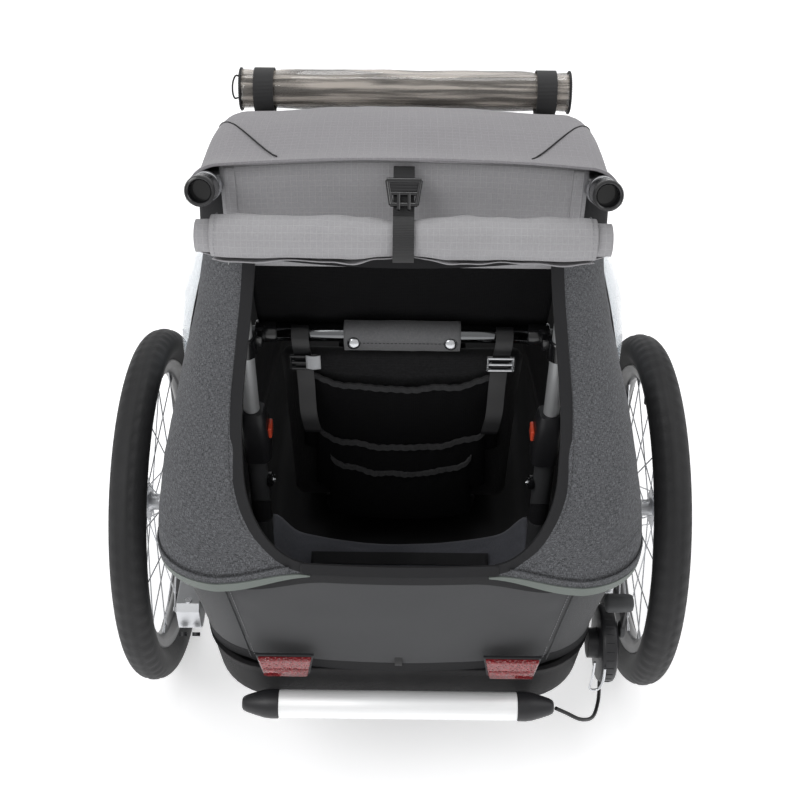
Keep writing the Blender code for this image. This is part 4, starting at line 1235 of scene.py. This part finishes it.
def rear_roll():
    """The rear cover, rolled up and cinched in the middle by its strap."""
    centre = (-0.214, 0.854)
    half = 0.2000
    turns = 3.25
    rows = []
    for k in spread(0, 1, 118):
        angle = 2 * math.pi * turns * k - math.radians(145)
        row = []
        wide = half - 0.0150 * ease((k - 0.655) / 0.03)
        for x in spread(-wide, wide, 112):
            mid = math.exp(-(x / 0.032) ** 2)
            end = ease((abs(x) - 0.150) / 0.05)
            outer = 0.0236 - 0.0042 * mid - 0.0014 * end
            r = mix(0.0080, outer, k ** 0.8)
            reach = abs(x) - 0.012
            fan = math.sin(5 * angle + 190 * reach) * math.exp(-max(reach, 0) / 0.045)
            drape = math.sin(62 * abs(x) + 2.0 * angle) * 0.6 + math.sin(150 * x - 3 * angle) * 0.25
            drape += ripple((x * 1.4, 0.03 * math.cos(angle), 0.03 * math.sin(angle)), 0.05, 6.0)
            r += k ** 3 * (0.0018 * fan * (1 - mid) + 0.0021 * drape)
            r += 0.0005 * math.sin(160 * x + 3 * angle) * k ** 3 * end
            row.append(at(x, centre[0] - r * math.cos(angle), centre[1] + r * math.sin(angle) * 0.97))
        rows.append(row)
    roll = thicken(grid("rear_roll_cloth", rows), 0.0011)
    settle(roll, "upper_frame", "roll", ["rear_cover_roll"])
    for side, word in ((-1, "left"), (1, "right")):
        path = []
        for angle in spread(-80, 175, 60):
            a = math.radians(angle)
            path.append(at(side * 0.1800, centre[0] - 0.0232 * math.cos(a), centre[1] + 0.0232 * math.sin(a) * 0.97))
        line = stitches("roll_stitch_" + word, path, 0.003, 0.0016, 0.0003)
        settle(line, "upper_frame", "pale_thread")
    flat_cloth(roll)
    path = [at(0, -0.1655, 0.9045), at(0, -0.1740, 0.9035), at(0, -0.1850, 0.8985), at(0, -0.1950, 0.8880)]
    for angle in spread(104, -52, 40):
        a = math.radians(angle)
        path.append(at(0, centre[0] - 0.0222 * math.cos(a), centre[1] + 0.0222 * math.sin(a)))
    path += [at(0, -0.2080, 0.8270), at(0, -0.1860, 0.8160), at(0, -0.1720, 0.8130)]
    strap = ribbon("roll_strap_webbing", smooth_path(path, 0.004), (1, 0, 0), 0.0205, 0.0016)
    settle(strap, "upper_frame", "webbing", ["roll_strap"])
    tilt = Vector((0, -0.0235, -0.0190)).normalized()
    out = Vector((0, tilt.z, -tilt.y))
    top = at(0, -0.1835, 0.8995)
    bm = bmesh.new()
    for step in (0.003, 0.006, 0.009):
        mid = top + tilt * step + out * 0.0006
        rod_between(bm, mid - Vector((0.0140, 0, 0)), mid + Vector((0.0140, 0, 0)), 0.0021, 10)
    for step, wide, r in ((0.000, 0.0168, 0.0027), (0.013, 0.0150, 0.0019), (0.024, 0.0130, 0.0021)):
        mid = top + tilt * step + out * 0.0016
        rod_between(bm, mid - Vector((wide, 0, 0)), mid + Vector((wide, 0, 0)), r, 14)
    for side in (-1, 1):
        a = top + out * 0.0016 + Vector((side * 0.0158, 0, 0))
        b = top + tilt * 0.024 + out * 0.0016 + Vector((side * 0.0122, 0, 0))
        rod_between(bm, a, b, 0.0023, 12)
    for x in (-0.005, 0.005):
        a = top + tilt * 0.013 + out * 0.0020 + Vector((x, 0, 0))
        rod_between(bm, a, a + tilt * 0.017 + out * 0.002, 0.0017, 10)
    settle(made("strap_buckle", bm, 35), "upper_frame", "gloss")


def window_roll():
    """The clear front window, rolled up under the front edge of the roof."""
    centre = (0.155, 0.819)
    half = 0.1985
    rows = []
    for k in spread(0, 1, 190):
        angle = 2 * math.pi * 2.6 * k + math.radians(40)
        row = []
        for x in spread(-half, half, 70):
            r = mix(0.0125, 0.0258, k)
            strapped = sum(math.exp(-((x - s * 0.170) / 0.018) ** 2) for s in (-1, 1))
            wave = math.sin(26 * x + 2.0 * angle) * 0.5 + ripple((x, angle * 0.01, k), 0.045, 9.0)
            crease = math.radians(118) + 0.16 * math.sin(9 * x) + 0.10 * math.sin(31 * x + 1)
            facing = (angle - crease + math.pi) % (2 * math.pi) - math.pi
            r += k * (0.0011 * wave - 0.0016 * strapped)
            r += k * 0.0021 * (math.exp(-(facing / 0.13) ** 2) - math.exp(-((facing + 0.42) / 0.16) ** 2)) * (1 - strapped)
            row.append(at(x, centre[0] - r * math.cos(angle), centre[1] + r * math.sin(angle)))
        rows.append(row)
    roll = thicken(grid("window_roll_film", rows), 0.0007)
    settle(roll, "upper_frame", "roll_film", ["window_roll"])
    for side, word in ((-1, "left"), (1, "right")):
        x = side * 0.1705
        circle = [at(x, centre[0] - 0.0264 * math.cos(a), centre[1] + 0.0264 * math.sin(a))
                  for a in spread(math.radians(-150), math.radians(215), 60)]
        circle += [at(x, 0.128, 0.800), at(x, 0.119, 0.797)]
        band = ribbon("window_strap_" + word, circle, (1, 0, 0), 0.024, 0.0013)
        settle(band, "upper_frame", "webbing")
        bm = bmesh.new()
        spiral = []
        for t in spread(0, 1, 260):
            a = 2 * math.pi * 2.4 * t
            r = mix(0.0140, 0.0258, t)
            spiral.append(at(side * 0.1990, centre[0] - r * math.cos(a), centre[1] + r * math.sin(a)))
        for i, (a, b) in enumerate(zip(spiral, spiral[1:])):
            rod_between(bm, a, b, 0.0017 if i % 2 else 0.0013, 6)
        coil = made("window_zip_" + word, bm, 35)
        settle(coil, "upper_frame", "plastic")
    loop = [at(-0.2005, 0.150, 0.8400), at(-0.2040, 0.146, 0.8420), at(-0.2070, 0.140, 0.8360), at(-0.2075, 0.136, 0.826),
            at(-0.2060, 0.138, 0.8170), at(-0.2025, 0.143, 0.8150)]
    settle(pipe("window_pull_loop", smooth_path(loop, 0.002), 0.0011, 8), "upper_frame", "webbing")
    flat_cloth(roll)


canopy()
upper_panel()
rear_roll()
window_roll()


# Rear opening, cross tube and cabin

def opening_bands():
    """The binding across the top and bottom of the rear opening."""
    top = ribbon("opening_binding_top", [at(x, cover_rear(0.812) + 0.012 * (x / 0.13) ** 2 - 0.0015, 0.8125)
                                         for x in spread(-0.158, 0.158, 50)], (0, 0.3, 1), 0.013, 0.0028)
    settle(top, "upper_frame", "binding")
    low = ribbon("opening_binding_low", [at(x, cover_rear(0.461) + 0.012 * (x / 0.2) ** 2 - 0.0014, 0.4615)
                                         for x in spread(-0.113, 0.113, 50)], (0, 0.3, 1), 0.0134, 0.0034)
    settle(low, "chassis", "binding")


def cross_tube():
    y, z = CROSS
    end = 0.1699
    rounded_tube("cross_tube_detail", at(-end + 0.023, y, z), at(end - 0.023, y, z), 0.011, "rear_struts", "chrome",
                 ["seat_cross_tube"])
    for side, word in ((-1, "left"), (1, "right")):
        rounded_tube("cross_sleeve_" + word, at(side * (end - 0.0245), y, z), at(side * end, y, z), 0.0130,
                     "rear_struts", "gloss")
        ring = [(0, 0.0096), (0, 0.0125), (0.0012, 0.0136), (0.0250, 0.0136), (0.0262, 0.0125), (0.0262, 0.0096)]
        settle(lathe("cross_clamp_" + word, ring, at(side * STRUT_X, STRUT_Y, z - 0.0131), (0, 0, 1), 40, ring=True),
               "rear_struts", "gloss")
        joint = blocks("cross_bridge_" + word, [(at(side * 0.1600, STRUT_Y + 0.004, z - 0.0085),
                                                 at(side * 0.1760, y + 0.002, z + 0.0085))], 0.003, 3)
        settle(joint, "rear_struts", "gloss")
    rows = []
    for s in spread(-0.0675, 0.0675, 40):
        row = []
        for i in range(40):
            a = 2 * math.pi * i / 40
            down = max(0.0, -math.cos(a))
            r = 0.0134 + 0.0105 * down ** 5 + 0.0005 * ripple((s, a * 0.02, 0), 0.02, 3.0)
            row.append(at(s, y - r * math.sin(a) * (1 - 0.55 * down ** 4) - 0.002 * down, z + r * math.cos(a)))
        rows.append(row)
    loop = thicken(grid("grab_loop_cloth", rows, closed=True), 0.0018)
    settle(loop, "rear_struts", "loop", ["grab_loop"])
    for name, angle in (("front", 95), ("back", 265)):
        a = math.radians(angle)
        path = [at(s, y - 0.0150 * math.sin(a), z + 0.0150 * math.cos(a) - 0.003) for s in spread(-0.064, 0.064, 40)]
        settle(stitches("grab_loop_stitch_" + name, path), "rear_struts", "thread")
    for side, word in ((-1, "left"), (1, "right")):
        profile = [(0, 0), (0, 0.0072), (0.0010, 0.0076), (0.0022, 0.0068), (0.0034, 0.0048), (0.0040, 0.0020), (0.0041, 0)]
        snap = lathe("snap_" + word, profile, at(side * 0.056, y - 0.0148, z - 0.004), (0, -1, 0.30), 28)
        settle(snap, "rear_struts", "steel")
    flat_cloth(loop)


def folding(obj):
    """Give a soft piece, which the frame folds down over, its own copy of its mesh."""
    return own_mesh(obj)


def inflate(obj, cap, voxel=0.006, pressure=4.0):
    """Puff a closed shape up as a filled cushion, with no point moving further than the cap."""
    remesh = obj.modifiers.new("remesh", "REMESH")
    remesh.mode = "VOXEL"
    remesh.voxel_size = voxel
    obj = to_mesh(obj)
    start = [v.co.copy() for v in obj.data.vertices]
    soft = obj.modifiers.new("cloth", "CLOTH")
    soft.settings.use_pressure = True
    soft.settings.uniform_pressure_force = pressure
    soft.settings.effector_weights.gravity = 0
    soft.settings.tension_stiffness = 12
    soft.settings.bending_stiffness = 0.8
    scene = bpy.context.scene
    for frame_number in range(1, 21):
        scene.frame_set(frame_number)
    obj = to_mesh(obj)
    scene.frame_set(1)
    for vertex, rest in zip(obj.data.vertices, start):
        move = vertex.co - rest
        if move.length > cap:
            vertex.co = rest + move * (cap / move.length)
    obj.data.shade_smooth()
    return soften(obj)


def pad_blank(name, size, crown, place, turn=None, segments=(20, 5, 20)):
    """A block with softly crowned faces, ready to be inflated."""
    bm = bmesh.new()
    bmesh.ops.create_cube(bm, size=1)
    bmesh.ops.scale(bm, vec=size, verts=bm.verts)
    bmesh.ops.bevel(bm, geom=bm.edges, offset=min(size) * 0.35, segments=3, affect="EDGES")
    bmesh.ops.subdivide_edges(bm, edges=bm.edges, cuts=6, use_grid_fill=True)
    for v in bm.verts:
        across = 1 - (2 * v.co.x / size[0]) ** 2
        along = 1 - (2 * v.co.z / size[2]) ** 2
        v.co.y *= 1 + crown * max(0, across) * max(0, along)
    obj = made(name, bm, 0)
    obj.matrix_world = Matrix.Translation(place) @ (turn or Matrix.Identity(4))
    return obj


def seat():
    lean = Matrix.Translation(at(0, -0.020, 0.292)) @ Matrix.Rotation(math.radians(11), 4, "X")
    blank = pad_blank("seat_back_pad", (0.300, 0.020, 0.320), 0.35, (0, 0, 0))
    blank.matrix_world = lean @ Matrix.Translation((0, 0, 0.166))
    back = inflate(blank, 0.006)
    settle(back, "chassis", "seat", ["seat_back"])
    folding(back)
    cushion_blank = pad_blank("seat_cushion_pad", (0.282, 0.094, 0.250), 0.10, (0, 0, 0))
    cushion_blank.matrix_world = (Matrix.Translation(at(0, 0.130, 0.2445)) @ Matrix.Rotation(math.radians(90), 4, "X"))
    cushion = inflate(cushion_blank, 0.007)
    settle(cushion, "chassis", "seat", ["seat_cushion"])
    harness(lean)
    pockets(lean)


def harness(lean):
    straps = []
    for side, word in ((-1, "left"), (1, "right")):
        route = [(0.006, 0.0205, 0.070), (0.020, 0.0225, 0.085), (0.042, 0.0245, 0.130), (0.055, 0.0250, 0.180),
                 (0.057, 0.0240, 0.250), (0.055, 0.0225, 0.300), (0.054, 0.0200, 0.325)]
        path = smooth_path([lean @ Vector((side * x, y, z)) for x, y, z in route], 0.006)
        straps.append(ribbon("harness_strap_" + word, path, (side, 0, 0.35), 0.022, 0.0018))
        pad = smooth_path([lean @ Vector((side * x, y + 0.0035, z)) for x, y, z in route[3:6]], 0.006)
        straps.append(ribbon("harness_pad_" + word, pad, (side, 0, 0.1), 0.044, 0.0065))
    crotch = smooth_path([lean @ Vector((0, y, z)) for y, z in ((0.028, 0.006), (0.024, 0.030), (0.021, 0.060))], 0.006)
    straps.append(ribbon("harness_crotch", crotch, (1, 0, 0), 0.024, 0.0018))
    for strap in straps:
        settle(strap, "chassis", "seat" if "pad" in strap.name else "webbing")
        folding(strap)
    straps[0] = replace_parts(straps[0], "harness")
    profile = [(0, 0), (0, 0.017), (0.002, 0.019), (0.008, 0.018), (0.011, 0.013), (0.012, 0)]
    buckle = lathe("harness_buckle", profile, lean @ Vector((0, 0.0195, 0.072)), lean.to_3x3() @ Vector((0, 1, 0)), 40)
    settle(buckle, "chassis", "plastic")
    folding(buckle)


def pockets(lean):
    """Three bellied pockets with gathered elastic hems, on the back of the seat."""
    for index, (z_top, z_low, half, belly) in enumerate(((0.306, 0.150, 0.124, 0.016), (0.199, 0.075, 0.112, 0.020),
                                                         (0.150, 0.020, 0.096, 0.018))):
        rows = []
        for v in spread(0, 1, 22):
            row = []
            for u in spread(-1, 1, 64):
                full = math.sin(math.pi * min(1, 0.12 + 0.88 * v) ** 0.75) ** 0.7 if v < 1 else 0.0
                side = max(0.0, 1 - u * u) ** 0.6
                gather = 0.0012 * math.sin(26 * u + 6 * index) * ease((v - 0.55) / 0.45)
                sag = 0.024 * side * v
                y = -0.0195 - index * 0.0085 - belly * side * (0.35 + 0.65 * full) + gather
                row.append(lean @ Vector((u * half * (1 - 0.06 * v), y, mix(z_low, z_top, v) - sag)))
            rows.append(row)
        net_cloth = thicken(grid("pocket_net_%d" % index, rows), 0.0012)
        settle(net_cloth, "chassis", "pocket")
        hem_path = []
        for i, u in enumerate(spread(-1, 1, 130)):
            side = max(0.0, 1 - u * u) ** 0.6
            bunch = 0.0006 * math.sin(i * 0.9) + 0.0010 * math.sin(i * 0.23 + index)
            hem_path.append(lean @ Vector((u * half * 0.94, -0.0195 - index * 0.0085 - belly * side * 0.62 - 0.001 + bunch,
                                           z_top - 0.024 * side + 0.0016 * math.sin(i * 0.17 + 2 * index))))
        hem = ribbon("pocket_hem_%d" % index, hem_path, (0, 0, 1), 0.0075, 0.0030)
        settle(hem, "chassis", "hem")
        flat_cloth(net_cloth)
        folding(net_cloth)
        folding(hem)


def cabin_cloths():
    """The mesh panel above the cross tube, the harness adjusters on it, and the trunk floor."""
    rows = []
    for v in spread(0, 1, 24):
        row = []
        for x in spread(-0.168, 0.168, 60):
            y = mix(-0.076, -0.132, v) + 0.006 * math.sin(math.pi * v) * math.cos(x * 18)
            p = at(x, y, mix(0.628, 0.842, v))
            p.y += 0.002 * ripple(p, 0.03, 1.0)
            row.append(p)
        rows.append(row)
    panel = thicken(grid("cabin_mesh_panel", rows, flip=True), 0.0012)
    settle(panel, "upper_frame", "pocket")
    flat_cloth(panel)
    folding(panel)
    y, z = CROSS
    for side, word in ((-1, "left"), (1, "right")):
        x = side * 0.118
        path = [at(x, y - 0.004, z + 0.0128), at(x, y - 0.013, z + 0.004), at(x - side * 0.001, y - 0.016, z - 0.010),
                at(x - side * 0.003, y - 0.014, z - 0.030), at(x - side * 0.005, y - 0.018, z - 0.062),
                at(x - side * 0.007, y - 0.030, z - 0.100), at(x - side * 0.012, y - 0.034, z - 0.128)]
        tail = ribbon("adjuster_webbing_" + word, smooth_path(path, 0.005), (1, 0, 0), 0.020, 0.0016)
        settle(tail, "rear_struts", "sheath")
        bm = bmesh.new()
        middle = at(x - side * 0.003, y - 0.0175, z - 0.032)
        for dz in (-0.009, 0.0, 0.009):
            rod_between(bm, middle + Vector((-0.0155, 0, dz)), middle + Vector((0.0155, 0, dz)), 0.0019, 12)
        for dx in (-0.0150, 0.0150):
            rod_between(bm, middle + Vector((dx, 0, -0.0095)), middle + Vector((dx, 0, 0.0095)), 0.0021, 12)
        settle(made("adjuster_buckle_" + word, bm), "rear_struts", "steel" if side > 0 else "gloss")
    label = thicken(grid("care_tag", [[at(-0.112 + 0.017 * s, y - 0.0190 - 0.002 * math.sin(3 * s), z - 0.020 - 0.020 * t)
                                       for s in spread(0, 1, 8)] for t in spread(0, 1, 8)]), 0.0005)
    settle(label, "rear_struts", "tag")
    flat_cloth(label)
    rows = []
    for yy in spread(-0.272, 0.600, 60):
        half = skirt_half(yy, 0.2) - 0.014 - 0.06 * ease((-0.225 - yy) / 0.06) - 0.012 * ease((yy - 0.55) / 0.04)
        row = []
        for s in spread(-1, 1, 90):
            p = at(s * half, yy, 0.1915)
            over = 0.0265 * math.exp(-((abs(p.x) - 0.18) / 0.021) ** 2)
            p.z += over + 0.0020 * (1 + ripple(p, 0.05, 2.0))
            row.append(p)
        rows.append(row)
    mat = thicken(grid("floor_mat", rows), 0.0016)
    settle(mat, "chassis", "lining")
    flat_cloth(mat)
    rows = []
    for v in spread(0, 1, 18):
        row = []
        for x in spread(-0.184, 0.184, 60):
            over = 0.0265 * math.exp(-((abs(x) - 0.18) / 0.021) ** 2)
            front = -0.040 + 0.034 * (x / 0.184) ** 2
            p = at(x, mix(-0.102, front, v), 0.1985 + over + 0.010 * ease((v - 0.15) / 0.8))
            p.z += 0.0022 * ripple((x, v, 0), 0.04, 5.0)
            row.append(p)
        rows.append(row)
    flap = thicken(grid("trunk_flap", rows), 0.0016)
    settle(flap, "chassis", "flap")
    strip = [at(x, -0.066, 0.2085) for x in spread(-0.126, 0.126, 40)]
    tape = ribbon("trunk_hook_tape", strip, (0, 1, 0.4), 0.018, 0.0018)
    settle(tape, "chassis", "velcro")
    flat_cloth(flap)


opening_bands()
cross_tube()
seat()
cabin_cloths()


# Parking brake and stroller wheel

def parking_brake():
    y, z = -0.226, 0.2326
    place = at(0.2465, y, z)
    profile = [(0, 0), (0, 0.0195), (0.0125, 0.0200), (0.0125, 0.0430), (0.0132, 0.0478), (0.0155, 0.0496), (0.0170, 0.0500),
               (0.0290, 0.0500), (0.0310, 0.0494), (0.0328, 0.0470), (0.0345, 0.0410), (0.0352, 0.0330),
               (0.0372, 0.0300), (0.0375, 0.0220), (0.0375, 0)]
    settle(lathe("brake_drum", profile, place, (1, 0, 0), 80), "chassis", "plastic", ["brake_housing"])
    bm = bmesh.new()
    for i in range(28):
        a = 2 * math.pi * i / 28
        spot = Vector((0, math.sin(a), math.cos(a)))
        rod_between(bm, place + Vector((0.0180, 0, 0)) + spot * 0.0498, place + Vector((0.0280, 0, 0)) + spot * 0.0498,
                    0.0009, 6)
    settle(made("brake_drum_ribs", bm), "chassis", "plastic")
    wire = [at(0.2478, y - 0.052, 0.262), at(0.2478, y - 0.0545, 0.230), at(0.2480, y - 0.0500, 0.202),
            at(0.2560, y - 0.0480, 0.1960), at(0.2620, y - 0.0480, 0.2010), at(0.2630, y - 0.0530, 0.2250),
            at(0.2620, y - 0.0530, 0.2500)]
    settle(pipe("brake_wire", smooth_path(wire, 0.004), 0.0017, 12), "chassis", "steel")
    lever_y, lever_z = -0.226, 0.262
    hub = [(0, 0), (0, 0.0100), (0.001, 0.0110), (0.005, 0.0110), (0.006, 0.0100), (0.006, 0.0)]
    settle(lathe("lever_hub", hub, at(0.2848, lever_y, lever_z), (1, 0, 0), 32), "brake_lever", "grip")
    outline = [(lever_y - 0.0058, lever_z), (lever_y + 0.0058, lever_z), (lever_y + 0.0016, 0.322), (lever_y - 0.0088, 0.322)]
    plate = loft("lever_plate", [[at(x, a, b) for a, b in outline] for x in (0.2851, 0.2894)])
    edge = plate.modifiers.new("edge", "BEVEL")
    edge.width, edge.segments = 0.001, 2
    settle(plate, "brake_lever", "coat")
    loops = []
    for x, t, s in ((0.2600, 0.0, 0.55), (0.2612, 0.02, 0.86), (0.2640, 0.1, 1.0), (0.2760, 0.42, 1.0),
                    (0.2880, 0.82, 0.97), (0.2918, 0.96, 0.84), (0.2930, 1.0, 0.5)):
        cy, cz = lever_y - 0.001 - 0.008 * t, 0.3155 + 0.012 * t
        loop = []
        for i in range(40):
            a = 2 * math.pi * i / 40
            notch = 1 - 0.06 * (0.5 + 0.5 * math.cos(6 * a))
            loop.append(at(x, cy + 0.0125 * s * notch * math.cos(a), cz + 0.0105 * s * notch * math.sin(a)))
        loops.append(loop)
    settle(loft("lever_grip", loops), "brake_lever", "grip", ["brake_lever"])
    cable = bpy.data.objects["brake_cable"]
    route = [(0.268, -0.238, 0.1815), (0.268, -0.246, 0.172), (0.265, -0.268, 0.163), (0.254, -0.296, 0.168),
             (0.235, -0.312, 0.186), (0.214, -0.3145, 0.204), (0.1995, -0.315, 0.2150)]
    path = smooth_path([at(*p) for p in route], 0.004)
    settle(pipe("brake_cable_sheath", path, 0.0025, 14), "chassis", "sheath", [cable.name])
    adjuster = [(0, 0.0026), (0, 0.0042), (0.001, 0.0048), (0.010, 0.0048), (0.011, 0.0042), (0.016, 0.0038), (0.016, 0.0026)]
    settle(lathe("cable_adjuster", adjuster, path[2], path[0] - path[4], 20, ring=True), "chassis", "cast")


def stroller():
    centre = at(0, 0.73, 0.10)
    rows = []
    for a in spread(-118, 118, 25):
        angle = math.radians(a)
        x, r = 0.0205 * math.sin(angle), 0.0805 + 0.0195 * math.cos(angle)
        row = []
        for i in range(160):
            turn = 2 * math.pi * i / 160
            groove = 0.0012 * (abs(a) < 62 and (i % 4 == 0)) + 0.0010 * (abs(a) < 6)
            row.append(centre + Vector((x, (r - groove) * math.sin(turn), (r - groove) * math.cos(turn))))
        rows.append(row)
    tyre = grid("stroller_tyre", rows, closed=True)
    settle(tyre, "stroller_wheel", "tyre", ["stroller_wheel"])
    profile = [(-0.0150, 0.0740), (-0.0168, 0.0722), (-0.0150, 0.0690), (-0.0060, 0.0640), (-0.0045, 0.0250),
               (-0.0120, 0.0200), (-0.0235, 0.0160), (-0.0235, 0.0052), (0.0235, 0.0052), (0.0235, 0.0160),
               (0.0120, 0.0200), (0.0045, 0.0250), (0.0060, 0.0640), (0.0150, 0.0690), (0.0168, 0.0722), (0.0150, 0.0740)]
    settle(lathe("stroller_rim", profile, centre, (1, 0, 0), 72, ring=True), "stroller_wheel", "rim")
    bm = bmesh.new()
    for x in (-0.0372, 0.0372):
        rod_between(bm, centre + Vector((x - 0.0012, 0, 0)), centre + Vector((x + 0.0012, 0, 0)), 0.0062, 6)
    settle(made("stroller_axle_nuts", bm), "stroller_fork", "steel")
    bolt = [(0, 0), (0, 0.0075), (0.004, 0.0075), (0.0048, 0.0065), (0.0048, 0)]
    settle(lathe("swivel_bolt", bolt, at(0, 0.765, 0.2503), (0, 0, 1), 6), "chassis", "steel")


parking_brake()
stroller()
